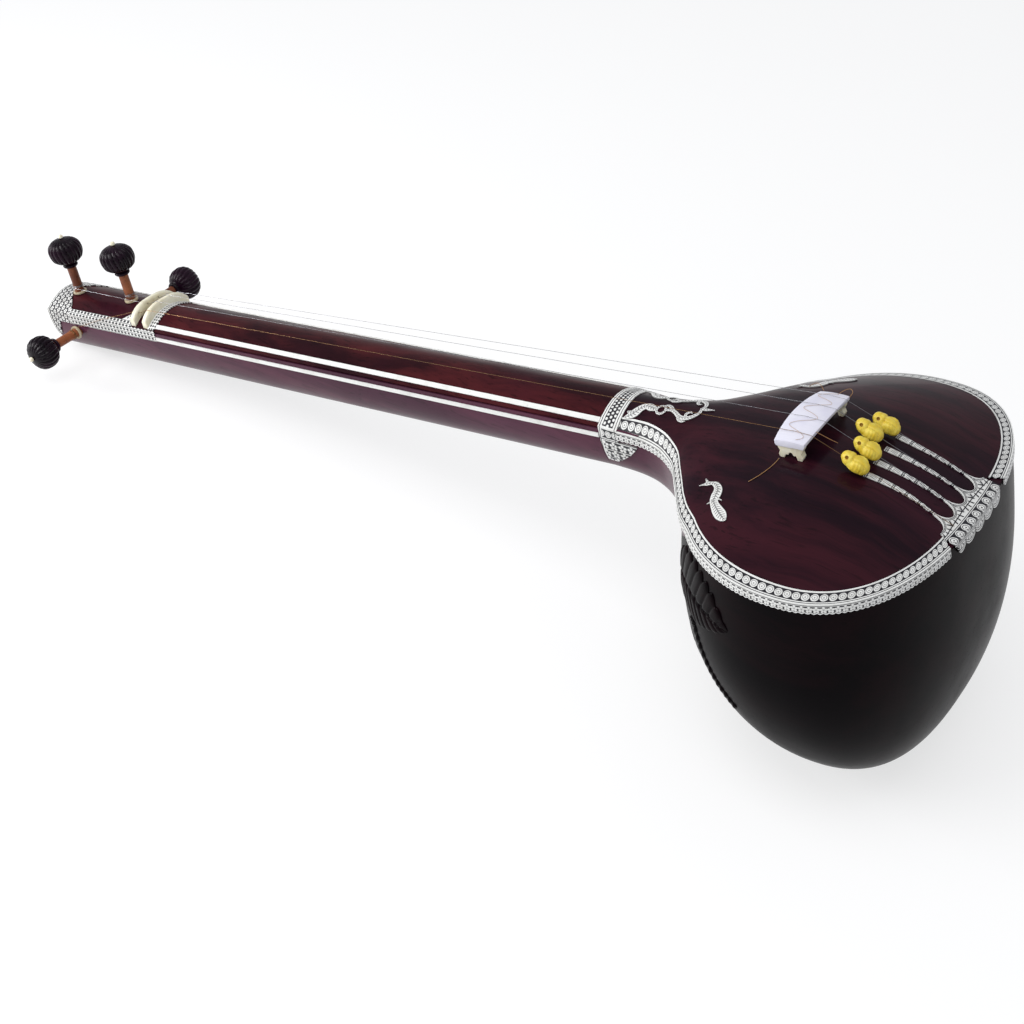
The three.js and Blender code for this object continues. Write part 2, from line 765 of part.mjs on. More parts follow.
// Back leaf: level, half-angle of its edge
const backLeafShares = [
  [1 / 12, 0.17],
  [1 / 8, 0.215],
  [1 / 6, 0.25],
  [1 / 4, 0.235],
  [1 / 3, 0.262],
  [5 / 12, 0.22],
  [1 / 2, 0.235],
  [7 / 12, 0.16],
  [2 / 3, 0.12],
  [0.7, 0.04],
];
const onGourd = (turn, level, lift) => gourdPoint(turn * Math.PI, level, -lift);
const leafLow = clearance * 2;
const leafHigh = leafLow + leafThickness;
const leafPlate = (side) =>
  plate(smooth(leafSides(sideLeafShares, side), 30), onGourd, leafLow, leafHigh, leafFacet);
piece("leaf_near", cut(leafPlate(-1), heelBlock(clearance)), darkLacquer);
piece("leaf_far", cut(leafPlate(1), heelBlock(clearance)), darkLacquer);
const leafColumns = 6;
const leafRow = ([level, edge]) => {
  const inside = Math.ceil(edge / gourdColumn) - 1;
  const column = (i) =>
    i <= inside
      ? i * gourdColumn
      : mix(inside * gourdColumn, edge, (i - inside) / (leafColumns - inside));
  const columns = steps(leafColumns * 2).map((s) => {
    const i = Math.round((2 * s - 1) * leafColumns);
    return Math.sign(i) * column(Math.abs(i));
  });
  const across = (lift) => columns.map((turn) => onGourd(turn, level, lift));
  return [...across(leafHigh), ...across(leafLow).reverse()];
};
piece("leaf_back", loft(backLeafShares.map(leafRow)), darkLacquer);

// How far the gourd stands out past the rim where the binding's side strip ends
const stripLevel = -1 + bindingDrop / gourdWaistDrop;
function swellAt(x, y) {
  if (x > widestAt) {
    const turn = Math.atan2(y, widestAt - x);
    const spread = (level) => gourdPoint(turn, level, 0).setZ(0).distanceTo(at(widestAt, 0, 0));
    return spread(stripLevel) - spread(-1);
  }
  const share = stripLevel * stripLevel;
  const ahead = (widestAt - x) / mix(gourdHeadReach, bowlHeadReach, share);
  return mix(gourdHalfWidth, boardHalfWidth, share) * Math.sqrt(Math.max(1 - ahead * ahead, 0)) - y;
}

// Binding along the edge: a top strip and a side strip in one L
const tailStop = boardShares[lastBound];
const headStop = (straightRibs * (bandLength + clearance)) / widestAt;
function bindingRing(share, side) {
  const r = rib(share);
  const length = ribLength(r);
  const spot = (out, drop, level = null) => {
    const [x, y] = acrossRib(r, 1 + out / length);
    const [ex, ey] = acrossRib(r, Math.min(1 + out / length, 1));
    const base = level === null ? boardZ(ex, ey) : level;
    return at(x, side * y, base - drop);
  };
  const edge = rimZ(r.rim[0]);
  const lean = Math.max(swellAt(...r.rim), 0) + clearance * 2;
  const snug = clearance * 1.5;
  const thick = trimThickness;
  return [
    spot(-bindingWidth, 0),
    spot(-bindingWidth / 2, 0),
    spot(snug + thick, 0, edge),
    spot(lean + snug + thick, bindingDrop, edge),
    spot(lean + snug, bindingDrop, edge),
    spot(snug, rabbetDepth - clearance, edge),
    spot(-bindingWidth / 2, rabbetDepth - clearance),
    spot(-bindingWidth, rabbetDepth - clearance),
  ];
}
const ribGap = boardShares[1] / 5;
const bindingShares = [
  headStop,
  ...boardShares.filter((s) => s > headStop + ribGap && s < tailStop - ribGap),
  tailStop,
];
piece("binding_near", loft(bindingShares.map((s) => bindingRing(s, -1))), pearl);
piece("binding_far", loft(bindingShares.map((s) => bindingRing(s, 1))), pearl);

// Band over the joint, with a pierced-looking flap down each side
const trimLow = clearance;
const trimHigh = clearance + trimThickness;
const mirrored = (list) => [...list, ...list.map(([u, v]) => [u, -v]).reverse()];
const shareAt = (x, drop) => [x, sideShare(x, drop)];
const jointBand = mirrored([
  [bandLength, 0],
  [bandLength, 1],
  shareAt(bandLength, bandDrop),
  shareAt(flapLength, bandDrop),
  shareAt(flapLength * 0.78, flapDrop * 0.62),
  shareAt(flapLength * 0.34, flapDrop),
  shareAt(flapLength * 0.08, flapDrop),
  [clearance, 1],
  [clearance, 0],
]);
const folds = [0, 1 / 4, 1 / 2, 3 / 4, 1, 1.12, 1.24, 1.36, 1.48, 1.6];
const bandFolds = [...folds.slice(1).map((v) => -v), ...folds];
const bandPlate = (outline, stations = []) =>
  plate(outline, overNeck, trimLow, trimHigh, neckLength, bandFolds, stations);
const bandStations = steps(4).slice(1, -1).map((s) => s * flapLength);
piece("joint_band", bandPlate(jointBand.filter((row, i) => i !== 9 && i !== 17), bandStations), pearl);

// White lines down the neck
const stripe = (name, side, from, to) => {
  const start = -nutX + nutThickness / 2 + nutStripLength + clearance * 3;
  const outline = [
    [start, side * from],
    [-clearance, side * from],
    [-clearance, side * to],
    [start, side * to],
  ];
  piece(name, plate(outline, overNeck, trimLow, trimHigh, neckLength), pearl);
};
const inset = (width) => 1 - width / neckHalfWidth;
["near", "far"].forEach((label, k) => {
  const side = k ? 1 : -1;
  const half = stripeWidth / 2;
  stripe("stripe_upper_" + label, side, inset(upperStripeInset + half), inset(upperStripeInset - half));
  stripe(
    "stripe_lower_" + label,
    side,
    sideShare(-1, lowerStripeDrop - half),
    sideShare(-1, lowerStripeDrop + half),
  );
});

// Trim of the head: end band, strips along the ridges with a gusset, strip before the nut
const headEnd = -neckLength;
const headBand = mirrored([
  [headEnd, 0],
  [headEnd, 1],
  [headEnd, sideShare(-1, headBandDrop)],
  [headEnd + headBandLength * 0.3, sideShare(-1, headBandDrop)],
  [headEnd + headBandLength * 0.8, sideShare(-1, ridgeStripDrop)],
  [headEnd + headBandCorner, sideShare(-1, ridgeStripDrop)],
  [headEnd + headBandCorner, inset(ridgeStripInset)],
  [headEnd + headBandCorner * 0.9, inset(ridgeStripInset * 2)],
  [headEnd + headBandLength, 0.2],
]);
piece("head_band", bandPlate(headBand.filter((row, i) => i !== 17)), pearl);
const guideX = -nutX - guideSetback;
const gussetEnd = guideX - nutThickness / 2 - clearance;
const nutFront = -nutX + nutThickness / 2;
const ridgeStrip = (side) =>
  [
    [headEnd + headBandCorner + clearance, inset(ridgeStripInset)],
    [gussetEnd - bandLength, inset(ridgeStripInset)],
    [gussetEnd, inset(ridgeStripInset * 3.4)],
    [gussetEnd, 1],
    [nutFront + nutStripLength, 1],
    [nutFront + nutStripLength, sideShare(-1, ridgeStripDrop)],
    [headEnd + headBandCorner + clearance, sideShare(-1, ridgeStripDrop)],
    [headEnd + headBandCorner + clearance, 1],
  ].map(([u, v]) => [u, side * v]);
piece("ridge_strip_near", cut(bandPlate(ridgeStrip(-1)), pegBore(pegs[2])), pearl);
piece("ridge_strip_far", cut(bandPlate(ridgeStrip(1)), pegBore(pegs[3])), pearl);
const nutStripHalf = inset(clearance * 4);
const nutStrip = mirrored([
  [nutFront + clearance, 0],
  [nutFront + clearance, nutStripHalf],
  [nutFront + nutStripLength, nutStripHalf],
  [nutFront + nutStripLength, 0],
]);
piece("nut_strip", bandPlate(nutStrip.filter((row, i) => i !== 4 && i !== 7)), pearl);

// Nut and guide: arched plates standing on the face
const nutZ = (y) => nutCrown - nutDip * Math.abs(y / nutHalfWidth) ** nutFullness;
const nutRing = (x, y) => {
  const half = nutThickness / 2;
  const base = boardZ(x, y) + clearance;
  const round = nutThickness / 6;
  return [
    at(x - half, y, base),
    at(x - half, y, nutZ(y) - round * 2),
    at(x - half + round, y, nutZ(y) - round / 2),
    at(x, y, nutZ(y)),
    at(x + half - round, y, nutZ(y) - round / 2),
    at(x + half, y, nutZ(y) - round * 2),
    at(x + half, y, base),
  ];
};
const archOn = (x) => loft(steps(14).map((s) => nutRing(x, mix(-nutHalfWidth, nutHalfWidth, s))));
piece("string_nut", archOn(-nutX), bone);

// Where each string goes: bead, nut and peg
const strings = [
  { name: "string_1_bronze", bead: "bead_1", at: beadShares.first, side: -1, outer: true, peg: 2 },
  { name: "string_2", bead: "bead_2", at: beadShares.second, side: -1, outer: false, peg: 0 },
  { name: "string_3", bead: "bead_3", at: beadShares.third, side: 1, outer: false, peg: 1 },
  { name: "string_4", bead: "bead_4", at: beadShares.fourth, side: 1, outer: true, peg: 3 },
].map((s) => ({
  ...s,
  radius: s.outer && s.side < 0 ? bronzeRadius : steelRadius,
  bridgeY: s.side * (s.outer ? outerStringY : innerStringY),
  nutY: s.side * (s.outer ? nutStringY : nutInnerY),
}));
const holeZ = (y) => nutZ(y) - guideHoleDrop;
const guideHoles = strings.map((s) =>
  bar(
    at(guideX - nutThickness, s.nutY, holeZ(s.nutY)),
    at(guideX + nutThickness, s.nutY, holeZ(s.nutY)),
    guideHoleRadius,
    8,
  ),
);
piece("string_guide", cut(archOn(guideX), ...guideHoles), bone);

// Bridge: arched plate on two cusped legs
const bridgeZ = (x, y) =>
  bridgeTop +
  bridgeArch * (1 - (y / bridgeHalfWidth) ** 2) -
  bridgeFall * ((2 * (x - bridgeX)) / bridgeLength) ** 2;
const bridgeUnder = (x, y) =>
  bridgeTop + bridgeArch * (1 - (y / bridgeHalfWidth) ** 2) - bridgePlate;
const bridgeHalf = (y) => bridgeLength / 2 + bridgeBow * (1 / 2 - (y / bridgeHalfWidth) ** 2);
const bridgeRing = (y) => {
  const half = bridgeHalf(y);
  const top = steps(6).map((s) => {
    const x = bridgeX + mix(-half, half, s);
    return at(x, y, bridgeZ(x, y));
  });
  const low = [half, half * 0.9, -half * 0.9, -half];
  const lift = [bridgePlate / 3, 0, 0, bridgePlate / 3];
  return [...top, ...low.map((d, i) => at(bridgeX + d, y, bridgeUnder(bridgeX + d, y) + lift[i]))];
};
piece(
  "bridge_plate",
  loft(steps(10).map((s) => bridgeRing(mix(-bridgeHalfWidth, bridgeHalfWidth, s)))),
  whitePlate,
);
const legShares = [
  [-1, 1],
  [-0.93, 0.75],
  [-0.8, 0.55],
  [-0.92, 0.25],
  [-0.82, 0],
  [-0.5, 0],
  [-0.38, 0.3],
  [-0.2, 0.28],
  [-0.08, 0.5],
  [0.08, 0.5],
  [0.2, 0.28],
  [0.38, 0.3],
  [0.5, 0],
  [0.82, 0],
  [0.92, 0.25],
  [0.8, 0.55],
  [0.93, 0.75],
  [1, 1],
];
const legHalf = bridgeLength / 2 - legOverhang - bridgeBow / 2;
const leg = (side) => (u, v, lift) => {
  const x = bridgeX + u * legHalf;
  const y = side * (bridgeHalfWidth - legInset - lift);
  return at(x, y, mix(boardZ(x, y) + clearance, bridgeUnder(x, y) - clearance, v));
};
piece("bridge_leg_near", plate(legShares, leg(-1), 0, legThickness, bridgeLength), bone);
piece("bridge_leg_far", plate(legShares, leg(1), 0, legThickness, bridgeLength), bone);

// Tailpiece: four tapering arms on one base at the end of the board
const rootX = tailBaseX - armRootWidth / 2;
const armEdge = (y, side) => [
  [rootX, y + (side * armRootWidth) / 2],
  [rootX - armRootWidth, y + side * armWaistWidth * 0.7],
  [rootX - armRootWidth * 2, y + (side * armWaistWidth) / 2],
  [mix(armHeadX, rootX, 0.4), y + side * mix(armHeadWidth, armWaistWidth, 0.45) * 0.5],
  [armHeadX, y + (side * armHeadWidth) / 2],
];
const armYs = [-outerStringY, -innerStringY, innerStringY, outerStringY];
const tailEdge = (y) => boardLength * 0.998 - (y / tailHalfWidth) ** 2 * trimThickness * 1.5;
const tailOutline = [
  [tailEdge(tailHalfWidth), -tailHalfWidth],
  [tailBaseX - trimThickness, -tailHalfWidth],
  ...armYs.flatMap((y) => [...armEdge(y, -1), ...armEdge(y, 1).reverse()]),
  [tailBaseX - trimThickness, tailHalfWidth],
  ...steps(8)
    .slice(0, -1)
    .map((s) => mix(tailHalfWidth, -tailHalfWidth, s))
    .map((y) => [tailEdge(y), y]),
];
piece("tailpiece", plate(tailOutline, overBoard, trimLow, trimHigh, boardFacet), pearl);

// Scalloped apron of the tailpiece on the end of the bowl
const apronHalf = Math.asin((tailHalfWidth / boardHalfWidth) ** (tailFullness / 2)) / Math.PI;
const levelAt = (drop) => -1 + drop / (gourdWaistDrop + rimZ(boardLength));
const scallops = steps(scallopCount * 4).map((s) => {
  const wave = Math.abs(Math.sin(s * scallopCount * Math.PI));
  return [1 + mix(apronHalf, -apronHalf, s), levelAt(apronDrop - scallopDepth * (1 - wave))];
});
const apronOutline = [[1 - apronHalf, levelAt(apronTop)], [1 + apronHalf, levelAt(apronTop)], ...scallops];
piece(
  "tail_apron",
  plate(apronOutline, onGourd, clearance * 2, clearance * 2 + trimThickness, apronFacet),
  pearl,
);

// Vine at the joint: a scrolling ribbon with its mirror image, laid on the board as one piece
const vineShares = [
  [0, 0.98, 0.35],
  [0.1, 0.84, 1.5],
  [0.2, 0.62, 0.9],
  [0.32, 0.74, 1.6],
  [0.44, 0.46, 0.9],
  [0.56, 0.66, 1.5],
  [0.68, 0.74, 0.9],
  [0.8, 0.5, 1.4],
  [0.92, 0.2, 0.9],
];
const vineStem = vineHalfWidth / 9;
const vineRow = (u, v, w) => at(vineStart + u * vineLength, v * vineHalfWidth, w * vineStem);
const vineNear = vineShares.map(([u, v, w]) => vineRow(u, -v, w));
const vineFar = vineShares.map(([u, v, w]) => vineRow(u, v, w)).reverse();
const vineRows = [...vineNear, vineRow(1, 0, 1.6), ...vineFar];
const vineCurve = new THREE.CatmullRomCurve3(vineRows, false, "centripetal");
const vinePath = vineCurve.getPoints(40);
const vineEdge = (side) =>
  vinePath.map((p, i) => {
    const a = vinePath[Math.max(i - 1, 0)];
    const b = vinePath[Math.min(i + 1, vinePath.length - 1)];
    const run = Math.hypot(b.x - a.x, b.y - a.y);
    return [p.x - (side * p.z * (b.y - a.y)) / run, p.y + (side * p.z * (b.x - a.x)) / run];
  });
const vineOutline = [...vineEdge(1), ...vineEdge(-1).reverse()];
piece("vine_ornament", plate(vineOutline, overBoard, trimLow, trimHigh, vineFacet), pearl);

// Two small peacocks let into the board
const peacockShares = [
  [-0.04, 0.0],
  [0.1, -0.13],
  [0.26, -0.13],
  [0.36, 0.02],
  [0.36, 0.2],
  [0.46, 0.22],
  [0.36, 0.32],
  [0.5, 0.45],
  [0.74, 0.72],
  [0.8, 0.98],
  [0.6, 0.94],
  [0.34, 0.66],
  [0.2, 0.42],
  [0.08, 0.4],
  [0.18, 0.3],
  [0.2, 0.08],
  [0.12, 0.0],
];
const peacockX = flareLength - peacockSetback;
const peacockY = halfWidth(peacockX) - peacockInset;
const peacock = (side) =>
  smooth(peacockShares, 44).map(([u, v]) => [
    peacockX + u * peacockLength * 0.7,
    side * (peacockY + v * peacockLength * 0.75),
  ]);
piece("peacock_near", plate(peacock(-1), overBoard, trimLow, trimHigh, boardFacet), pearl);
piece("peacock_far", plate(peacock(1), overBoard, trimLow, trimHigh, boardFacet), pearl);

// Pegs: shaft, fluted head with collar, finial and a ring round the foot
// Melon profile: place along the head, radius, depth of the flutes
const melonShares = [
  [0, 0.42, 0],
  [0.07, 0.65, 0.5],
  [0.22, 0.89, 1],
  [0.46, 1, 1],
  [0.7, 0.94, 1],
  [0.86, 0.75, 0.8],
  [0.96, 0.45, 0.4],
  [1, 0.16, 0],
];
const fluted = (peg) => {
  const u = at(1, 0, 0);
  const v = new THREE.Vector3().crossVectors(peg.out, u);
  const rings = melonShares.map(([h, r, depth]) =>
    Array.from({ length: fluteCount * 2 }, (_, i) => {
      const turn = (Math.PI * i) / fluteCount + h * 0.35;
      const radius = pegHeadRadius * r - (i % 2) * fluteDepth * depth;
      return onPeg(peg, shaftOut + collarLength + h * pegHeadLength)
        .addScaledVector(u, radius * Math.cos(turn))
        .addScaledVector(v, radius * Math.sin(turn));
    }),
  );
  return loft(rings);
};
const turned = (peg, rows, sides) => {
  const u = at(1, 0, 0);
  const v = new THREE.Vector3().crossVectors(peg.out, u);
  return loft(
    rows.map(([out, radius]) =>
      Array.from({ length: sides }, (_, i) => {
        const turn = (2 * Math.PI * i) / sides;
        return onPeg(peg, out)
          .addScaledVector(u, radius * Math.cos(turn))
          .addScaledVector(v, radius * Math.sin(turn));
      }),
    ),
  );
};
pegs.forEach((peg) => {
  const tip = -peg.farWall + clearance * 2;
  const ringSeat = peg.front ? boardZ(peg.x, peg.y) - boardZ(peg.x, peg.y + pegRingRadius) : 0;
  piece(
    peg.name + "_shaft",
    turned(peg, [[tip, shaftTipRadius], [0, shaftRadius], [shaftOut - clearance, shaftRadius]], 14),
    shaftWood,
  );
  const collar = turned(
    peg,
    [
      [shaftOut, collarRadius * 0.8],
      [shaftOut + collarLength * 0.2, collarRadius],
      [shaftOut + collarLength * 0.6, collarRadius],
      [shaftOut + collarLength * 0.8, collarRadius * 0.75],
      [shaftOut + collarLength * 1.2, collarRadius * 0.9],
    ],
    14,
  );
  piece(peg.name + "_head", join(collar, fluted(peg)), blackened);
  const headTop = shaftOut + collarLength + pegHeadLength + clearance;
  piece(
    peg.name + "_finial",
    turned(
      peg,
      [
        [headTop, finialRadius * 0.7],
        [headTop + finialLength * 0.3, finialRadius],
        [headTop + finialLength * 0.7, finialRadius * 0.9],
        [headTop + finialLength, finialRadius * 0.35],
      ],
      8,
    ),
    bone,
  );
  const ring = (inner, outer, low, high) =>
    cut(
      bar(onPeg(peg, low), onPeg(peg, high), outer, 14),
      bar(onPeg(peg, low - overrun), onPeg(peg, high + overrun), inner, 14),
    );
  const seat = clearance + (peg.front ? 0 : trimHigh);
  piece(
    peg.name + "_ring",
    ring(shaftRadius + clearance, pegRingRadius, seat, seat + pegRingLength + ringSeat),
    bone,
  );
});

// Beads and strings
const overBridge = threadRadius * 2 + clearance * 3;
const tailAnchor = (s) => overBoard(stringTailX, s.bridgeY, trimHigh + clearance * 1.5 + s.radius);
const bridgeRear = (s) => {
  const x = bridgeX + bridgeHalf(s.bridgeY);
  return at(x, s.bridgeY, bridgeZ(x, s.bridgeY) + overBridge + s.radius);
};
strings.forEach((s) => {
  const tail = tailAnchor(s);
  const rear = bridgeRear(s);
  const spot = rear.clone().lerp(tail, s.at);
  const heading = rear.clone().sub(tail).normalize();
  const across = at(0, 1, 0);
  const up = new THREE.Vector3().crossVectors(across, heading);
  const lean = new THREE.Matrix4().makeBasis(heading, across.clone().negate(), up);
  const body = new THREE.SphereGeometry(1 / 2, 12, 7);
  body.scale(beadLength * 0.82, beadWidth, beadHeight);
  body.translate(-beadLength * 0.09, 0, 0);
  const head = new THREE.SphereGeometry(beadHeadRadius, 8, 5);
  head.scale(1, 0.85, 0.9);
  head.translate(beadLength / 2 - beadHeadRadius, 0, beadHeight * 0.12);
  const eyeSpot = at(beadLength / 2 - beadHeadRadius * 0.9, 0, beadHeight * 0.42);
  const eye = bar(
    eyeSpot.clone().add(at(0, beadWidth, beadWidth / 3)),
    eyeSpot.clone().add(at(0, -beadWidth, -beadWidth / 3)),
    beadEyeRadius,
    8,
  );
  const bore = bar(at(-beadLength, 0, 0), at(beadLength, 0, 0), s.radius + clearance, 6);
  const made = cut(join(body, head), eye, bore);
  made.applyMatrix4(lean);
  made.translate(spot.x, spot.y, spot.z);
  piece(s.bead, made, yellow);
});

// The strings' last stretch: from the guide, over the ridge for a side peg, and round the shaft
function winding(peg, from, radius) {
  const grip = shaftRadius + clearance + radius;
  const axis = peg.out;
  const stand = pegRingLength + windingStand;
  const centre = onPeg(peg, stand);
  const d = from.clone().sub(centre);
  d.addScaledVector(axis, -d.dot(axis));
  const reach = d.length();
  d.normalize();
  const e = new THREE.Vector3().crossVectors(axis, d);
  if (peg.front ? e.y > 0 : e.z < 0) e.negate();
  const start = Math.acos(grip / reach);
  return Array.from({ length: windingTurns * windingSteps + 1 }, (_, k) => {
    const turn = start + (2 * Math.PI * k) / windingSteps;
    return centre
      .clone()
      .addScaledVector(d, grip * Math.cos(turn))
      .addScaledVector(e, grip * Math.sin(turn))
      .addScaledVector(axis, (windingPitch * k) / windingSteps);
  });
}
strings.forEach((s) => {
  const peg = pegs[s.peg];
  const tail = tailAnchor(s);
  const rear = bridgeRear(s);
  const frontX = bridgeX - bridgeHalf(s.bridgeY) / 2;
  const front = at(frontX, s.bridgeY, bridgeZ(frontX, s.bridgeY) + overBridge + s.radius);
  const crown = at(bridgeX, s.bridgeY, bridgeZ(bridgeX, s.bridgeY) + overBridge + s.radius);
  const nut = at(-nutX, s.nutY, nutZ(s.nutY) + clearance + s.radius);
  const hole = at(guideX, s.nutY, holeZ(s.nutY));
  const holeIn = at(guideX + nutThickness * 0.7, s.nutY, holeZ(s.nutY));
  const holeOut = at(guideX - nutThickness * 0.7, s.nutY, holeZ(s.nutY));
  const route = [tail, rear, crown, front, nut, holeIn, hole, holeOut];
  if (!peg.front) {
    const bend = overNeck(mix(holeOut.x, peg.x, 0.5), s.side, trimHigh + clearance * 2 + s.radius);
    route.push(bend);
  }
  const coil = winding(peg, route[route.length - 1], s.radius);
  let least = Infinity;
  coil.forEach((p, i) =>
    coil.slice(i + windingSteps / 2).forEach((q) => {
      least = Math.min(least, p.distanceTo(q) - 2 * s.radius);
    }),
  );
  console.log(s.name + " winding, least gap to itself " + least.toFixed(2) + " mm");
  piece(s.name, tube([...route, ...coil], s.radius), s.radius === bronzeRadius ? bronze : steel);
});

// Thread laid in a zigzag over the bridge, and its free end on the board
const threadEndY = bridgeHalfWidth * 0.93;
const threadRoute = steps(32).map((s) => {
  const y = mix(-threadEndY, threadEndY, s);
  const x = bridgeX + threadSwing * Math.sin(s * Math.PI * 6 + Math.PI / 6);
  return at(x, y, bridgeZ(x, y) + clearance + threadRadius);
});
piece("jiva_thread", tube(threadRoute, threadRadius), thread);
const tailRoute = steps(10).map((s) => {
  const x = bridgeX - bridgeLength * 0.32 - threadTailLength * 0.3 * s * s;
  const y = -bridgeHalfWidth - legInset - s * threadTailLength * 0.93;
  return overBoard(x, y, clearance + threadRadius);
});
piece("jiva_thread_end", tube(tailRoute, threadRadius, 8), thread);

// The part's origin: on the floor, under the middle of the whole
lying.updateMatrixWorld(true);
const box = new THREE.Box3().setFromObject(lying, true);
const placed = new THREE.Group();
lying.position.set(-(box.min.x + box.max.x) / 2, -(box.min.y + box.max.y) / 2, -box.min.z);
placed.add(lying);

export default placed;
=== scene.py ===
import math
from functools import cache

import bpy
from mathutils import Matrix, Vector


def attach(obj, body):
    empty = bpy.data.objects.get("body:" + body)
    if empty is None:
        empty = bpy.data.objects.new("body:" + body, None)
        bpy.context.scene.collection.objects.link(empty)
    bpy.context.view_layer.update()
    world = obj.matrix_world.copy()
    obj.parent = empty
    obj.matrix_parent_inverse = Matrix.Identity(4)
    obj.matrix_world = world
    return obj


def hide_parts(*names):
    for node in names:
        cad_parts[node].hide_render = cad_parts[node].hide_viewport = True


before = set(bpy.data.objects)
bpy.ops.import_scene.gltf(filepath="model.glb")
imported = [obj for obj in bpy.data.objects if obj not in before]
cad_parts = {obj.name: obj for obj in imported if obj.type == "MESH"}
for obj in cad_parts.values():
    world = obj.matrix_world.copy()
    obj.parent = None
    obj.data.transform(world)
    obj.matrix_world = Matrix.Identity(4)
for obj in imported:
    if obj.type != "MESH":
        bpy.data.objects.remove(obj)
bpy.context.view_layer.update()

bpy.ops.object.select_all(action="DESELECT")

# The instrument's own frame, in millimetres: x runs along the strings to the tail, from the joint
# of neck and body, y to the player's far side, z out of the face. It lies tilted on the floor, by
# an angle in radians.
METRE = 1000
TILT = 0.21780399457823788
FLOOR_X = 244.51841887813157
FLOOR_Z = 267.6175956400375


def place(x, y, z):
    """A point of the instrument, in metres on the floor"""
    length = x * math.cos(TILT) - z * math.sin(TILT) + FLOOR_X
    height = x * math.sin(TILT) + z * math.cos(TILT) + FLOOR_Z
    return Vector((length / METRE, y / METRE, height / METRE))


def unplace(point):
    """Back from the floor to the instrument's own millimetres"""
    x, y, z = point[0] * METRE - FLOOR_X, point[1] * METRE, point[2] * METRE - FLOOR_Z
    return (
        x * math.cos(TILT) + z * math.sin(TILT),
        y,
        -x * math.sin(TILT) + z * math.cos(TILT),
    )


def heading(x, y, z):
    """A direction of the instrument, as it points over the floor"""
    return (place(x, y, z) - place(0, 0, 0)).normalized()


def add_object(name, data):
    thing = bpy.data.objects.new(name, data)
    bpy.context.scene.collection.objects.link(thing)
    return thing


# Camera, where the photograph's straight and symmetrical lines put it
SENSOR_WIDTH = 36
LENS = 53.946
FARTHEST = 50
CAMERA_SPOT = (876.2, -1139.8, 816.6)
CAMERA_RIGHT = (0.7925, 0.5840, -0.1755)
CAMERA_BACK = (0.5735, -0.6160, 0.5401)


def add_camera():
    camera = add_object("camera", bpy.data.cameras.new("camera"))
    camera.data.sensor_width = SENSOR_WIDTH
    camera.data.lens = LENS
    camera.data.clip_end = FARTHEST
    back = heading(*CAMERA_BACK)
    up = back.cross(heading(*CAMERA_RIGHT)).normalized()
    right = up.cross(back).normalized()
    aim = Matrix((right, up, back)).transposed().to_4x4()
    camera.matrix_world = Matrix.Translation(place(*CAMERA_SPOT)) @ aim
    bpy.context.scene.camera = camera


add_camera()

# Sizes of the solids. A row of shares is a place and the value or values there.
CLEARANCE = 0.3
NECK_LENGTH = 938
NECK_HALF = 41
NECK_DEPTH = 66.5
NECK_ARCH = 15.3
NECK_WALL = 5
NECK_FULLNESS = 2.4
HEAD_CAP = 5
FACE_PLATE = 4
RIDGE_ROUND = 0.5
BOARD_LENGTH = 400
BOARD_HALF = 201
WIDEST_AT = 280
TAIL_REACH = BOARD_LENGTH - WIDEST_AT
BOWL_REACH = 160
FLARE_LENGTH = 175
TAIL_FULLNESS = 2.4
RIM_FALL = 36
BOARD_RISE = 37.4
BOARD_PLATE = 4
FLARE_SHARES = (
    (0, 0),
    (0.143, -0.007),
    (0.229, -0.0126),
    (0.331, -0.0045),
    (0.446, 0.049),
    (0.531, 0.13),
    (0.611, 0.238),
    (0.686, 0.404),
    (0.754, 0.557),
    (0.829, 0.727),
    (0.903, 0.866),
    (1, 1),
)
CROWN_SHARES = (
    (0, 1, 0),
    (0.12, 0.8, 0.24),
    (0.25, 0.5, 0.5),
    (0.5, 0.15, 0.875),
    (0.6, 0, 0.995),
    (0.68, 0, 0.965),
    (0.75, 0, 0.83),
    (0.85, 0, 0.565),
    (0.925, 0, 0.29),
    (0.978, 0, 0.06),
    (1, 0, 0),
)
GOURD_HALF = 203.5
GOURD_HEAD_REACH = 176
GOURD_TAIL_REACH = 122
GOURD_WAIST_DROP = 120
GOURD_DEPTH = 216
GOURD_FULLNESS = 2.1
GOURD_WALL = 7
GOURD_SAG = 12
HEEL_LENGTH = 164
HEEL_DEPTH = 165
HEEL_WALL = 6
HEEL_RUN = WIDEST_AT - GOURD_HEAD_REACH
HEEL_SHARES = (
    (0, 0),
    (0.284, 0.005),
    (0.505, 0.045),
    (0.694, 0.13),
    (0.836, 0.255),
    (0.946, 0.4),
    (1.072, 0.61),
    (1.23, 0.82),
    (1.577, 1),
)
TRIM = 1.2
BINDING_WIDTH = 13.5
BINDING_OVERHANG = 1.5 * CLEARANCE + TRIM
BINDING_DROP = 10
RABBET = 1.8
BAND_LENGTH = 23
BRIDGE_X = 232
BRIDGE_LENGTH = 35
BRIDGE_HALF = 48.5
BRIDGE_TOP = 35
BRIDGE_ARCH = 6
BRIDGE_FALL = 1.4
BRIDGE_BOW = 3.5
THREAD_RADIUS = 0.35
APRON_NEAR = -57
APRON_FAR = 47.5
APRON_INSET = 8
APRON_TOP = APRON_INSET + TRIM
APRON_DROP = 9.5
LOBE_DROP = 6.5
LOBE_PITCH = 20.9
SIDES = (("near", -1), ("far", 1))


def mix(a, b, share):
    return a + (b - a) * share


def clamp(value, low, high):
    return min(max(value, low), high)


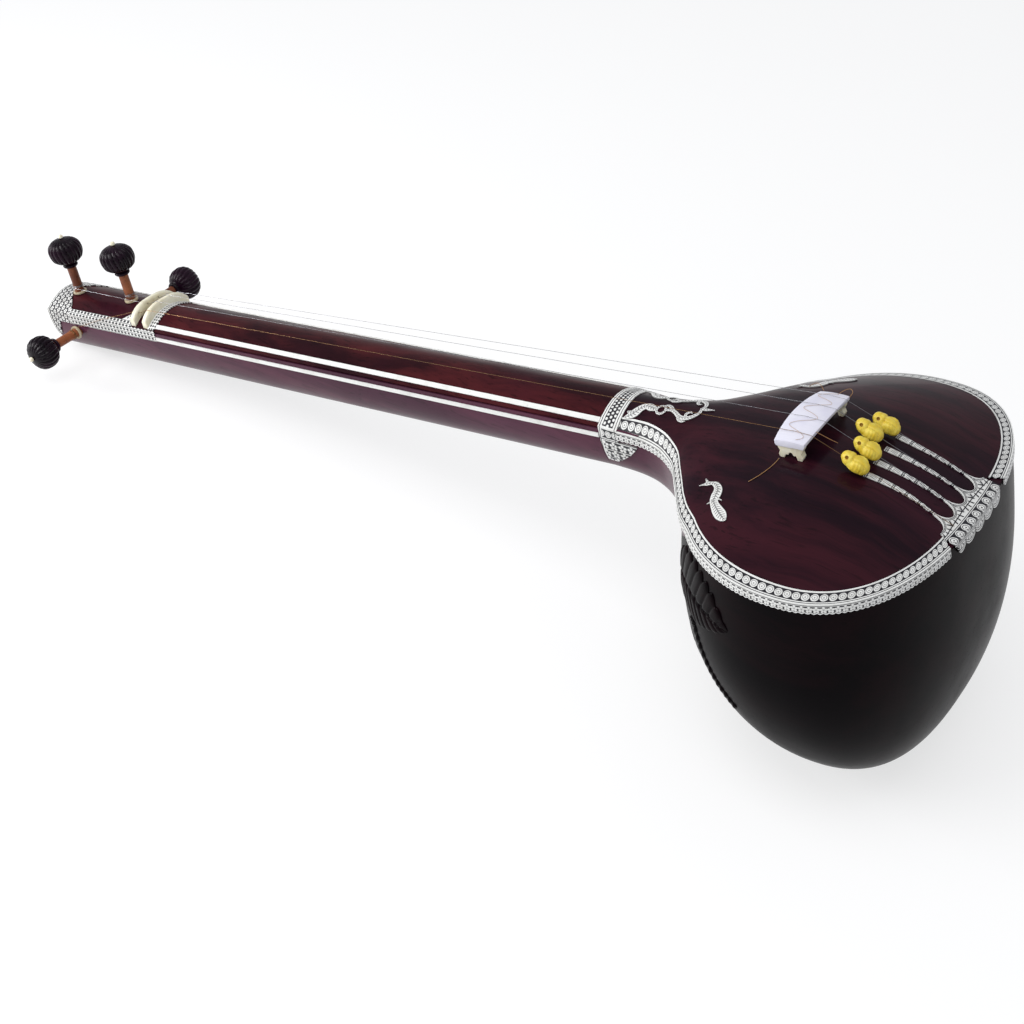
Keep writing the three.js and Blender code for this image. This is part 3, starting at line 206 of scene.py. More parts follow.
def along(rows, spot, column=1):
    """A smooth curve through rows, each of a place and the values there"""
    k = 0
    while k < len(rows) - 2 and rows[k + 1][0] < spot:
        k += 1

    def slope(i):
        a = rows[max(i - 1, 0)]
        b = rows[min(i + 1, len(rows) - 1)]
        return (b[column] - a[column]) / (b[0] - a[0])

    span = rows[k + 1][0] - rows[k][0]
    u = clamp((spot - rows[k][0]) / span, 0, 1)
    h = u * u * (3 - 2 * u)
    bend = slope(k) * u * (1 - u) ** 2 - slope(k + 1) * u * u * (1 - u)
    return rows[k][column] * (1 - h) + rows[k + 1][column] * h + span * bend


def rim_z(x):
    return 0 if x <= 0 else -RIM_FALL * x / BOARD_LENGTH


def half_width(x):
    """From the middle line to the edge of neck or board"""
    if x <= 0:
        return NECK_HALF
    ahead = WIDEST_AT - x
    if ahead < 0:
        share = clamp(-ahead / TAIL_REACH, 0, 1)
        return BOARD_HALF * (1 - share**TAIL_FULLNESS) ** (1 / TAIL_FULLNESS)
    if x >= FLARE_LENGTH:
        return BOARD_HALF * math.sqrt(1 - (ahead / BOWL_REACH) ** 2)
    joined_half = BOARD_HALF * math.sqrt(1 - ((WIDEST_AT - FLARE_LENGTH) / BOWL_REACH) ** 2)
    return mix(NECK_HALF, joined_half, along(FLARE_SHARES, x / FLARE_LENGTH))


def rise_at(x):
    """How high the middle line stands over the edges"""
    if x <= 0:
        return NECK_ARCH
    share = x / BOARD_LENGTH
    return NECK_ARCH * along(CROWN_SHARES, share) + BOARD_RISE * along(CROWN_SHARES, share, 2)


def board_z(x, y):
    across = clamp(abs(y) / max(half_width(x), CLEARANCE), 0, 1)
    return rim_z(x) + rise_at(x) * (1 - across * across)


def above_board(x, y, lift):
    """The height of a point that floats over the board, lift being square to its surface"""
    probe = 0.3
    dx = (board_z(x + probe, y) - board_z(x - probe, y)) / (2 * probe)
    dy = (board_z(x, y + probe) - board_z(x, y - probe)) / (2 * probe)
    return board_z(x, y) + lift * math.sqrt(1 + dx * dx + dy * dy)


def over_board(x, y, lift):
    return place(x, y, above_board(x, y, lift))


def neck_section(x, across):
    """Under side of neck and heel: across runs from -1 at the near ridge to 1 at the far one"""
    depth = NECK_DEPTH
    if x > 0:
        depth = mix(NECK_DEPTH, HEEL_DEPTH, along(HEEL_SHARES, x / HEEL_RUN))
    turn = (1 - abs(across)) * math.pi / 2
    power = 2 / NECK_FULLNESS
    y = math.copysign(half_width(x) * max(math.cos(turn), 0) ** power, across)
    return y, rim_z(x) - depth * max(math.sin(turn), 0) ** power


def bridge_z(x, y):
    """The top of the bridge's plate"""
    arch = BRIDGE_ARCH * (1 - (y / BRIDGE_HALF) ** 2)
    return BRIDGE_TOP + arch - BRIDGE_FALL * (2 * (x - BRIDGE_X) / BRIDGE_LENGTH) ** 2


def bridge_half(y):
    """From the middle of the bridge's plate to its bowed edge"""
    return BRIDGE_LENGTH / 2 + BRIDGE_BOW * (0.5 - (y / BRIDGE_HALF) ** 2)


# Making and seating pieces
def alone(piece):
    bpy.ops.object.select_all(action="DESELECT")
    piece.select_set(True)
    bpy.context.view_layer.objects.active = piece


def edit_all(piece, *operators):
    """Runs edit operators on the whole of one piece"""
    alone(piece)
    bpy.ops.object.mode_set(mode="EDIT")
    bpy.ops.mesh.select_all(action="SELECT")
    for operator in operators:
        operator()
    bpy.ops.object.mode_set(mode="OBJECT")


def weld():
    bpy.ops.mesh.remove_doubles(threshold=0.00002)


def weld_thread():
    bpy.ops.mesh.remove_doubles(threshold=0.000001)


def face_out():
    bpy.ops.mesh.normals_make_consistent(inside=False)


def close_ends():
    bpy.ops.mesh.select_all(action="DESELECT")
    bpy.ops.mesh.select_non_manifold()
    bpy.ops.mesh.edge_face_add()
    bpy.ops.mesh.select_all(action="SELECT")


def apply(piece, kind, **values):
    alone(piece)
    modifier = piece.modifiers.new("shaping", kind)
    for key, value in values.items():
        setattr(modifier, key, value)
    bpy.ops.object.modifier_apply(modifier=modifier.name)


def bevel(piece, width, segments, angle):
    """Rounds the edges that turn by more than the angle, in millimetres and degrees"""
    limit = math.radians(angle)
    apply(piece, "BEVEL", width=width / METRE, segments=segments, limit_method="ANGLE", angle_limit=limit)


def joined(name, pieces):
    bpy.ops.object.select_all(action="DESELECT")
    for piece in pieces:
        piece.select_set(True)
    bpy.context.view_layer.objects.active = pieces[0]
    bpy.ops.object.join()
    pieces[0].name = name
    return pieces[0]


def paint(piece, material):
    piece.data.materials.clear()
    piece.data.materials.append(material)


def carry(piece, node, body="body"):
    """Hangs a piece on the body that carries it, and hides the solid that it stands for"""
    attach(piece, body)
    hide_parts(node)


def seat(piece, material, node, body="body", angle=35):
    """Finishes a piece, smooth where its faces turn by less than the angle"""
    alone(piece)
    bpy.ops.object.shade_smooth_by_angle(angle=math.radians(angle))
    paint(piece, material)
    carry(piece, node, body)


def bent_grid(name, columns, rows, spot, wall=0.0, flip=False, uv=None, even=True):
    """A grid laid over a surface: spot(u, v) is the place for u and v from 0 to 1"""
    bpy.ops.object.select_all(action="DESELECT")
    bpy.ops.mesh.primitive_grid_add(x_subdivisions=columns, y_subdivisions=rows, size=1, location=(0, 0, 0))
    piece = bpy.context.object
    piece.name = name
    for vertex in piece.data.vertices:
        u = round((vertex.co.x + 0.5) * columns) / columns
        v = round((vertex.co.y + 0.5) * rows) / rows
        vertex.co = spot(u, v)
    if uv:
        for loop in piece.data.uv_layers[0].data:
            loop.uv = uv(loop.uv[0], loop.uv[1])
    piece.data.uv_layers[0].name = "UVMap"
    if flip:
        edit_all(piece, bpy.ops.mesh.flip_normals)
    edit_all(piece, weld)
    if wall:
        apply(piece, "SOLIDIFY", thickness=wall / METRE, offset=-1, use_even_offset=even)
    return piece


def dressed(node, unwrap=None):
    """A welded copy of a solid, with millimetres along and across as its UV map"""
    piece = add_object(node + "_dressed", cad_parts[node].data.copy())
    edit_all(piece, weld)
    bpy.ops.mesh.customdata_custom_splitnormals_clear()
    if unwrap:
        layer = piece.data.uv_layers.get("UVMap") or piece.data.uv_layers.new(name="UVMap")
        for loop, data in zip(piece.data.loops, layer.data):
            data.uv = unwrap(*unplace(piece.data.vertices[loop.vertex_index].co))
    return piece


def round_thread(name, runs, radius):
    """Round threads along runs of points on the floor, as one mesh with closed ends"""
    data = bpy.data.curves.new(name, "CURVE")
    data.dimensions = "3D"
    data.bevel_depth = radius / METRE
    data.bevel_resolution = 3
    data.use_fill_caps = True
    for points in runs:
        spline = data.splines.new("POLY")
        spline.points.add(len(points) - 1)
        for knot, point in zip(spline.points, points):
            knot.co = (*point, 1)
    thread = add_object(name, data)
    alone(thread)
    bpy.ops.object.convert(target="MESH")
    edit_all(thread, weld_thread, face_out)
    return thread


# Free end of the thread, from beside the bridge's near end out over the board
THREAD_END_LENGTH = 42
THREAD_END_STEPS = 30
THREAD_END_X = BRIDGE_X - BRIDGE_LENGTH * 0.32
THREAD_END_Y = -BRIDGE_HALF - 1.5
THREAD_END_DRIFT_SHARE = 0.3
THREAD_END_RUN_SHARE = 0.93


def thread_end_route():
    route = []
    for k in range(THREAD_END_STEPS + 1):
        s = k / THREAD_END_STEPS
        x = THREAD_END_X - THREAD_END_LENGTH * THREAD_END_DRIFT_SHARE * s * s
        y = THREAD_END_Y - s * THREAD_END_LENGTH * THREAD_END_RUN_SHARE
        route.append(over_board(x, y, CLEARANCE + THREAD_RADIUS))
    return route


thread_path = thread_end_route()
thread_end = round_thread("loose_thread", [thread_path], THREAD_RADIUS)
carry(thread_end, "jiva_thread_end")


# Shader helpers
class Value:
    """A value in a shader tree. Reckoning with it adds the nodes that do the sum."""

    def __init__(self, socket):
        self.socket = socket
        self.tree = socket.id_data

    def math(self, operation, *values):
        node = add_node(self.tree, "ShaderNodeMath", operation=operation)
        for socket, value in zip(node.inputs, values):
            feed(socket, value)
        return Value(node.outputs[0])

    def __add__(self, other):
        return self.math("ADD", self, other)

    def __sub__(self, other):
        return self.math("SUBTRACT", self, other)

    def __rsub__(self, other):
        return self.math("SUBTRACT", other, self)

    def __mul__(self, other):
        return self.math("MULTIPLY", self, other)

    def __truediv__(self, other):
        return self.math("DIVIDE", self, other)

    def __abs__(self):
        return self.math("ABSOLUTE", self)

    def fraction(self):
        return self.math("FRACT", self)

    def sine(self):
        return self.math("SINE", self)

    def angle(self, other):
        """The angle whose tangent is this over the other"""
        return self.math("ARCTAN2", self, other)

    def within(self, pitch):
        """How far into a repeating cell it lies"""
        return (self / pitch).fraction() * pitch

    def from_middle(self, pitch):
        """How far from the middle of a repeating cell it lies"""
        return ((self / pitch).fraction() - 0.5) * pitch

    def step(self, low, high):
        """0 below low, 1 over high, smooth between"""
        node = add_node(self.tree, "ShaderNodeMapRange", interpolation_type="SMOOTHSTEP")
        set_inputs(node, Value=self, From_Min=low, From_Max=high)
        return Value(node.outputs["Result"])

    def fall(self, low, high):
        """1 below low, 0 over high, smooth between"""
        return 1.0 - self.step(low, high)

    def between(self, low, high, soft=0.15):
        return self.step(low - soft, low) - self.step(high, high + soft)

    def blend(self, first, second):
        """The first colour at 0, the second at 1"""
        node = add_node(self.tree, "ShaderNodeMix", data_type="RGBA")
        set_inputs(node, Factor=self, A=opaque(first), B=opaque(second))
        return Value(node.outputs["Result"])


def add_node(tree, kind, **settings):
    node = tree.nodes.new(kind)
    for key, value in settings.items():
        setattr(node, key, value)
    return node


def feed(socket, value):
    """Joins a value of the shader to a socket, or sets the socket's own"""
    if isinstance(value, Value):
        value.tree.links.new(value.socket, socket)
    else:
        socket.default_value = value


def set_inputs(node, **values):
    """Feeds inputs by name, each _ standing for a space"""
    for label, value in values.items():
        feed(node.inputs[label.replace("_", " ")], value)


def opaque(colour):
    return colour if isinstance(colour, Value) else (*colour, 1)


def deeper(colour, share):
    """The same colour, with only a share of its light"""
    return tuple(share * part for part in colour)


def most(*values):
    """The highest of several values, such as inks that lie over each other"""
    total = values[0]
    for value in values[1:]:
        total = total.math("MAXIMUM", total, value)
    return total


def distance(side, rise):
    together = side * side + rise * rise
    return together.math("SQRT", together)


def noise(vector, scale, detail, roughness=0.5):
    node = add_node(vector.tree, "ShaderNodeTexNoise")
    set_inputs(node, Vector=vector, Scale=scale, Detail=detail, Roughness=roughness)
    return Value(node.outputs["Fac"])


def vector_math(operation, first, second):
    node = add_node(first.tree, "ShaderNodeVectorMath", operation=operation)
    feed(node.inputs[0], first)
    feed(node.inputs[1], second)
    return Value(node.outputs[0])


def stretched(vector, scale, rotation=(0, 0, 0)):
    node = add_node(vector.tree, "ShaderNodeMapping")
    set_inputs(node, Vector=vector, Scale=scale, Rotation=rotation)
    return Value(node.outputs[0])


def start_group(name, inputs, outputs):
    """A node group. Its inputs are numbers, or a place where no number is given."""
    tree = bpy.data.node_groups.new(name, "ShaderNodeTree")
    for label, value in inputs.items():
        kind = "NodeSocketVector" if value is None else "NodeSocketFloat"
        socket = tree.interface.new_socket(name=label, in_out="INPUT", socket_type=kind)
        if value is not None:
            socket.default_value = value
    for label in outputs:
        tree.interface.new_socket(name=label, in_out="OUTPUT", socket_type="NodeSocketFloat")
    given = {socket.name: Value(socket) for socket in add_node(tree, "NodeGroupInput").outputs}
    return tree, given, add_node(tree, "NodeGroupOutput")


def use_group(group, **values):
    """Places a group in the tree of its first value, and gives its outputs by name"""
    first = next(iter(values.values()))
    node = add_node(first.tree, "ShaderNodeGroup", node_tree=group)
    set_inputs(node, **values)
    return {socket.name: Value(socket) for socket in node.outputs}


# Effects that several materials share
def make_wood_figure():
    """Long streaks of wood figure, with fine pores, along the instrument"""
    tree, given, result = start_group("wood figure", {"Place": None}, ("Streak", "Pore", "Cloud"))
    spot = given["Place"]
    bent = noise(spot, 7.0, 2.0)
    lift = add_node(tree, "ShaderNodeCombineXYZ")
    set_inputs(lift, Y=bent * 1.3, Z=bent * 0.9)
    shifted = vector_math("ADD", stretched(spot, (1.6, 22, 22), (0, TILT, 0)), Value(lift.outputs[0]))
    fine = vector_math("MULTIPLY", shifted, (7, 14, 14))
    set_inputs(
        result,
        Streak=noise(shifted, 1.0, 6.0, 0.62).step(0.36, 0.66),
        Pore=noise(fine, 1.0, 2.0).step(0.56, 0.72),
        Cloud=noise(spot, 5.0, 3.0),
    )
    return tree


def make_polish_wear():
    """Faint swirls and dust that the polish leaves"""
    tree, given, result = start_group("polish wear", {"Place": None, "Amount": 1.0}, ("Haze", "Ripple"))
    swirls = noise(given["Place"], 9.0, 5.0, 0.6).step(0.4, 0.75)
    specks = noise(given["Place"], 420.0, 2.0).step(0.66, 0.74)
    haze = (swirls * 0.7 + specks * 0.6) * given["Amount"]
    set_inputs(result, Haze=haze, Ripple=noise(given["Place"], 16.0, 1.0))
    return tree


def start_row(name, pitch, middle, radius, outputs):
    """A group for a row of like ornaments, with the place from the middle of each one's cell"""
    inputs = {"Along": 0.0, "Across": 0.0, "Pitch": pitch, "Middle": middle, "Radius": radius}
    tree, given, result = start_group(name, inputs, outputs)
    side = given["Along"].from_middle(given["Pitch"])
    return tree, result, given["Radius"], side, given["Across"] - given["Middle"]


def make_scroll_row():
    """A row of engraved scrolls: a ring with an eye in each cell"""
    tree, result, radius, side, rise = start_row("scroll row", 8.6, 6.4, 4.4, ("Ground", "Lines"))
    share = distance(side, rise) / radius
    ring = (share + rise.angle(side) * 0.035).between(0.60, 0.70, 0.06)
    set_inputs(result, Ground=share.step(0.96, 1.08), Lines=most(ring, share.fall(0.14, 0.24)))
    return tree


def make_flower_row():
    """A row of five-petalled flowers, with the ground cut away between them"""
    tree, result, radius, side, rise = start_row("flower row", 6.2, 20.0, 3.2, ("Ground", "Lines"))
    petals = abs((side.angle(rise) * 2.5).sine())
    share = distance(side, rise) / (radius * (petals * 0.38 + 0.62))
    seams = petals.fall(0.18, 0.34) * share.step(0.3, 0.4)
    set_inputs(result, Ground=share.step(0.94, 1.08), Lines=most(share.fall(0.2, 0.3), seams))
    return tree


def make_dot_row():
    """A line of punched dots"""
    tree, result, radius, side, rise = start_row("dot row", 3.4, 0.0, 0.8, ("Ink",))
    set_inputs(result, Ink=(distance(side, rise) / radius).fall(0.85, 1.15))
    return tree


def make_lattice():
    """Lattice of small lozenges with a dot in each"""
    tree, given, result = start_group("lattice", {"Along": 0.0, "Across": 0.0, "Pitch": 5.0}, ("Ink",))
    u = given["Along"] / given["Pitch"]
    v = given["Across"] / given["Pitch"]
    one = abs((u + v).fraction() - 0.5)
    two = abs((u - v).fraction() - 0.5)
    bars = most(one.step(0.30, 0.37), two.step(0.30, 0.37))
    set_inputs(result, Ink=1.0 - most(bars, most(one, two).fall(0.10, 0.17)))
    return tree


wood_figure = make_wood_figure()
polish_wear = make_polish_wear()
scroll_row = make_scroll_row()
lattice = make_lattice()
dot_row = make_dot_row()
flower_row = make_flower_row()


# Woods. Colours are red, green and blue, roughness and coats are shares, bumps are in metres.
def start_material(name):
    """A material with its Principled shader and the place on the piece"""
    material = bpy.data.materials.new(name)
    material.use_nodes = True
    tree = material.node_tree
    spot = Value(add_node(tree, "ShaderNodeTexCoord").outputs["Object"])
    return material, tree.nodes["Principled BSDF"], spot


def bump(shader, height, depth, strength):
    node = add_node(height.tree, "ShaderNodeBump")
    set_inputs(node, Height=height, Distance=depth, Strength=strength)
    feed(shader.inputs["Normal"], Value(node.outputs[0]))


def lacquered_wood(name, dark, warm, pale, streaks, gloss, coat, under):
    """Stained wood with dark streaks and pores, under a deep polish"""
    material, shader, spot = start_material(name)
    figure = use_group(wood_figure, Place=spot)
    wear = use_group(polish_wear, Place=spot)
    base = (figure["Streak"] * streaks).blend(dark, warm)
    base = (figure["Cloud"].step(0.45, 0.75) * (0.6 * streaks)).blend(base, pale)
    base = (figure["Pore"] * (0.5 * streaks)).blend(base, deeper(dark, 0.4))
    set_inputs(
        shader,
        Base_Color=base,
        Roughness=wear["Haze"] * 0.2 + 0.32,
        Specular_IOR_Level=under,
        Coat_Weight=coat,
        Coat_Roughness=gloss,
        Coat_IOR=1.4,
    )
    bump(shader, wear["Ripple"], 0.0008, 0.12)
    return material


def satin_wood(name, dark, warm, rough, shine):
    """Turned wood that is rubbed but not polished"""
    material, shader, spot = start_material(name)
    figure = use_group(wood_figure, Place=spot)
    wear = use_group(polish_wear, Place=spot)
    base = figure["Streak"].blend(dark, warm)
    base = (figure["Pore"] * 0.6).blend(base, deeper(dark, 0.35))
    set_inputs(shader, Base_Color=base, Roughness=wear["Haze"] * 0.15 + rough, Specular_IOR_Level=shine)
    bump(shader, figure["Pore"], 0.00015, 0.5)
    return material


gourd_lacquer = lacquered_wood(
    "gourd lacquer",
    dark=(0.0016, 0.0007, 0.0014),
    warm=(0.006, 0.0014, 0.0024),
    pale=(0.003, 0.0011, 0.0024),
    streaks=0.8,
    gloss=0.04,
    coat=0.09,
    under=0.015,
)
board_lacquer = lacquered_wood(
    "soundboard lacquer",
    dark=(0.009, 0.002, 0.0055),
    warm=(0.036, 0.0062, 0.0115),
    pale=(0.022, 0.005, 0.0135),
    streaks=1.0,
    gloss=0.04,
    coat=0.24,
    under=0.04,
)
neck_lacquer = lacquered_wood(
    "neck lacquer",
    dark=(0.017, 0.0035, 0.006),
    warm=(0.066, 0.011, 0.013),
    pale=(0.038, 0.007, 0.014),
    streaks=1.0,
    gloss=0.05,
    coat=0.13,
    under=0.02,
)
# The neck's sides, heel and head cap: the neck's lacquered wood with a lighter, more purple base colour,
# partly the wood's own colour and partly a painted sheen
neck_side_painted_sheen_lacquer = lacquered_wood(
    "neck side painted sheen lacquer",
    dark=(0.052, 0.013, 0.030),
    warm=(0.104, 0.028, 0.052),
    pale=(0.080, 0.025, 0.054),
    streaks=0.8,
    gloss=0.14,
    coat=0.24,
    under=0.08,
)
shaft_wood = satin_wood("peg shaft wood", (0.12, 0.032, 0.014), (0.29, 0.09, 0.035), 0.42, 0.3)
peg_wood = satin_wood("blackened peg wood", (0.003, 0.0012, 0.003), (0.015, 0.004, 0.012), 0.2, 0.14)

# Engraved celluloid. A pattern gives the ink, from millimetres along and across a piece.
IVORY = (0.79, 0.79, 0.765)
IVORY_SHADE = (0.57, 0.56, 0.52)
INK = (0.006, 0.005, 0.010)


def engraved(name, pattern):
    """White celluloid with blackened cuts"""
    material, shader, spot = start_material(name)
    run = add_node(spot.tree, "ShaderNodeUVMap", uv_map="UVMap")
    parts = add_node(spot.tree, "ShaderNodeSeparateXYZ")
    feed(parts.inputs[0], Value(run.outputs[0]))
    ink = pattern(Value(parts.outputs["X"]), Value(parts.outputs["Y"]))
    wear = use_group(polish_wear, Place=spot)
    stain = noise(spot, 60.0, 3.0).step(0.45, 0.75)
    ground = (stain * 0.45).blend(IVORY, IVORY_SHADE)
    set_inputs(shader, Base_Color=ink.blend(ground, INK), Roughness=wear["Haze"] * 0.2 + 0.3)
    bump(shader, 1.0 - ink, 0.0002, 0.6)
    return material


def binding_pattern(u, v):
    """Roundels on black between two white lines, a row of cut-out flowers down the side"""
    disc = use_group(scroll_row, Along=u, Across=v, Pitch=8.4, Middle=6.9, Radius=3.75)
    flower = use_group(flower_row, Along=u, Across=v, Pitch=6.4, Middle=20.6, Radius=3.5)
    field = v.between(1.9, 11.6)
    low = v.between(17.4, 23.9)
    return most(
        disc["Ground"] * field,
        disc["Lines"] * field * 0.72,
        v.between(12.9, 13.6),
        flower["Ground"] * low,
        flower["Lines"] * low * 0.55,
        v.between(16.2, 16.7),
    )


def joint_pattern(u, v):
    """A net of discs on the face, scrolls and flowers on the flaps. v runs round the neck"""
    girth = abs(v)
    inks = [u.between(2.0, 2.7), u.between(20.3, 21.0), girth.between(54.6, 55.3, 0.2)]
    on_face = girth.fall(40.0, 40.4)
    for row, middle in enumerate((7.1, 11.5, 15.9)):
        shifted = v + 2.2 * row
        disc = use_group(scroll_row, Along=shifted, Across=u, Pitch=4.4, Middle=middle, Radius=1.45)
        inks.append(disc["Ground"] * u.between(middle - 2.2, middle + 2.2, 0.05) * on_face)
    inner = u.step(4.2, 4.5)
    scroll = use_group(scroll_row, Along=u, Across=girth, Pitch=8.0, Middle=48.4, Radius=3.6)
    field = girth.between(43.6, 53.2, 0.2) * girth.step(42.0, 42.4)
    inks.append(most(scroll["Ground"], scroll["Lines"] * 0.7) * field * inner)
    for middle, first, last in ((62.0, 56.6, 67.2), (73.5, 68.6, 78.6), (84.5, 79.6, 96.0)):
        flower = use_group(flower_row, Along=u, Across=girth, Pitch=11.0, Middle=middle, Radius=5.2)
        inks.append(most(flower["Ground"], flower["Lines"]) * girth.between(first, last, 0.2) * inner)
    return most(*inks)


def ridge_pattern(u, v):
    """Rows of dots between lines along the ridge, and a lattice on the face. v runs round the neck"""
    girth = abs(v)
    wide = u * 0.6
    net = use_group(lattice, Along=u, Across=girth, Pitch=6.4)
    inks = [net["Ink"] * girth.fall(33.0, 33.3)]
    for middle in (37.2, 41.8, 47.2, 52.4):
        dots = use_group(dot_row, Along=wide, Across=girth, Pitch=4.2, Middle=middle, Radius=1.5)
        inks.append(dots["Ink"])
    for edge in (35.0, 39.2, 44.4, 49.8, 54.6):
        inks.append(girth.between(edge, edge + 0.6, 0.12))
    return most(*inks)


def head_pattern(u, v):
    """Close rows of small flowers round the head, each row shifted by half a flower"""
    row_pitch = 7.4
    rows = u / row_pitch
    shifted = v + rows.math("FLOOR", rows) * 3.6
    row = u.within(row_pitch)
    flower = use_group(flower_row, Along=shifted, Across=row, Pitch=7.2, Middle=3.7, Radius=3.35)
    petals = most(flower["Ground"], flower["Lines"]) * u.between(-934.5, -880.0, 0.2)
    return most(petals, u.between(-936.6, -935.8))


def nut_strip_pattern(u, v):
    """Three rows of dots and a line across the neck"""
    inks = [u.between(-710.4, -709.9, 0.12)]
    for middle in (-720.6, -716.4, -712.4):
        dots = use_group(dot_row, Along=v, Across=u, Pitch=4.2, Middle=middle, Radius=1.4)
        inks.append(dots["Ink"])
    return most(*inks)


def arms_pattern(u, v):
    """Cross bars in pairs along an arm, long strokes between them. u runs from the arm's head"""
    bay = u.within(13.2)
    across = abs(v)
    hook = bay.between(0.0, 4.3, 0.12) * across.between(1.3, 2.0, 0.1)
    strokes = (v / 2.1 + u * 0.12).fraction().between(0.0, 0.3, 0.1)
    strokes = strokes * bay.between(5.4, 12.2, 0.4) * across.fall(2.6, 2.8) * 0.9
    return most(bay.between(1.0, 1.7, 0.12), bay.between(2.6, 3.3, 0.12), hook, strokes)


def fan_pattern(u, v):
    """Petals fanned round each opening between the arms. u runs along the strings, v across"""
    side = (v + 36.0).from_middle(24.0)
    ahead = u - 373.0
    reach = distance(side, ahead)
    petals = abs((side.angle(ahead) * 9.5).sine())
    seams = petals.fall(0.3, 0.55) * reach.step(14.0, 14.4)
    line = (u - v * v * 0.0006).between(387.6, 388.4)
    return most(seams, reach.between(12.0, 12.5), reach.between(13.1, 13.6), line)


def apron_pattern(u, v):
    """A band of roundels, then outlined scallops with petals. u runs across the tail, v down"""
    band = use_group(scroll_row, Along=u, Across=v, Pitch=11.8, Middle=7.4, Radius=4.4)
    band_ink = most(band["Ground"], band["Lines"]) * v.between(2.4, 12.4, 0.2)
    turn = (u - APRON_NEAR) / LOBE_PITCH
    lobe = abs((turn * math.pi).sine())
    below = v - (APRON_TOP + APRON_DROP) - lobe.math("POWER", lobe, 0.6) * LOBE_DROP
    side = (turn.fraction() - 0.5) * LOBE_PITCH
    petals = abs((side.angle(v - 12.6) * 4.5).sine())
    seams = petals.fall(0.34, 0.6) * v.step(16.2, 16.6) * below.fall(-3.6, -3.4)
    outlines = most(below.between(-2.3, -1.3), below.between(-4.4, -3.7), abs(side).step(9.2, 9.7))
    lines = [v.between(low, high) for low, high in ((0.9, 1.5), (13.4, 14.2), (15.2, 15.9))]
    return most(band_ink, seams, outlines * v.step(15.8, 16.0), *lines)


def feather_pattern(u, v):
    """Barbs on both sides of a quill. v runs from -1 to 1 across a scroll or feather"""
    across = abs(v)
    barbs = (u / 3.1 - across * 0.9).fraction()
    cuts = barbs.between(0.0, 0.26, 0.1) * across.fall(0.66, 0.74) * 0.85
    return most(cuts, across.fall(0.07, 0.16) * 0.7, across.step(0.93, 0.97) * 0.6)


def plain_pattern(u, v):
    """No engraving, only a few faint stains"""
    both = add_node(u.tree, "ShaderNodeCombineXYZ")
    set_inputs(both, X=u, Y=v)
    return noise(Value(both.outputs[0]), 0.15, 2.0).step(0.62, 0.8) * 0.15


binding_engraving = engraved("binding engraving", binding_pattern)
joint_engraving = engraved("joint engraving", joint_pattern)
ridge_engraving = engraved("ridge engraving", ridge_pattern)
head_engraving = engraved("head engraving", head_pattern)
nut_engraving = engraved("nut strip engraving", nut_strip_pattern)
arms_engraving = engraved("tailpiece engraving", arms_pattern)
apron_engraving = engraved("apron engraving", apron_pattern)
feather_engraving = engraved("feather engraving", feather_pattern)
fan_engraving = engraved("fan engraving", fan_pattern)
line_celluloid = engraved("neck line celluloid", plain_pattern)


# Bone, bridge, beads, wire and silk
def make_bone(name, pale, deep):
    material, shader, spot = start_material(name)
    lines = noise(stretched(spot, (160, 25, 60)), 1.0, 4.0).step(0.4, 0.72)
    stain = noise(spot, 90.0, 3.0).step(0.5, 0.8)
    base = (stain * 0.45).blend(lines.blend(pale, deep), (0.42, 0.33, 0.18))
    set_inputs(
        shader,
        Base_Color=base,
        Roughness=lines * 0.12 + 0.36,
        Subsurface_Weight=0.08,
        Subsurface_Radius=(0.003, 0.002, 0.001),
    )
    bump(shader, lines, 0.0001, 0.4)
    return material


def make_bridge_white():
    material, shader, spot = start_material("bridge white")
    wear = use_group(polish_wear, Place=spot)
    cloud = noise(spot, 45.0, 3.0).step(0.4, 0.75)
    scrapes = noise(stretched(spot, (40, 900, 40), (0, TILT, 0)), 1.0, 2.0).step(0.45, 0.8)
    base = cloud.blend((0.76, 0.75, 0.84), (0.68, 0.67, 0.79))
    base = (scrapes * 0.25).blend(base, (0.56, 0.55, 0.66))
    set_inputs(shader, Base_Color=base, Roughness=wear["Haze"] * 0.25 + 0.3)
    bump(shader, scrapes, 0.00008, 0.3)
    return material


def make_bead_yellow():
    material, shader, spot = start_material("bead yellow")
    cloud = noise(spot, 150.0, 4.0).step(0.35, 0.7)
    # Painted shade: the bead's colour darkens to deep amber in its hollows and grooves, where the pointiness
    # is low
    geometry = add_node(spot.tree, "ShaderNodeNewGeometry")
    painted_groove_shade = Value(geometry.outputs["Pointiness"]).fall(0.42, 0.5)
    base = cloud.blend((0.72, 0.52, 0.035), (0.80, 0.64, 0.085))
    set_inputs(
        shader,
        Base_Color=(painted_groove_shade * 0.75).blend(base, (0.42, 0.20, 0.008)),
        Roughness=cloud * 0.14 + 0.34,
        Subsurface_Weight=0.12,
        Subsurface_Radius=(0.004, 0.003, 0.001),
    )
    bump(shader, noise(spot, 420.0, 2.0), 0.0002, 0.35)
    return material


def make_wire(name, bright, tarnished):
    material, shader, spot = start_material(name)
    tarnish = noise(spot, 120.0, 3.0).step(0.4, 0.75)
    base = tarnish.blend(bright, tarnished)
    set_inputs(shader, Base_Color=base, Metallic=1.0, Roughness=tarnish * 0.2 + 0.25)
    return material


def make_silk(name, deep, pale):
    material, shader, spot = start_material(name)
    twist = add_node(spot.tree, "ShaderNodeTexWave", wave_type="BANDS", bands_direction="DIAGONAL")
    set_inputs(twist, Vector=spot, Scale=700.0, Distortion=1.5)
    strands = Value(twist.outputs["Fac"])
    set_inputs(shader, Base_Color=strands.blend(deep, pale), Roughness=0.65, Sheen_Weight=0.3)
    bump(shader, strands, 0.0001, 0.6)
    return material


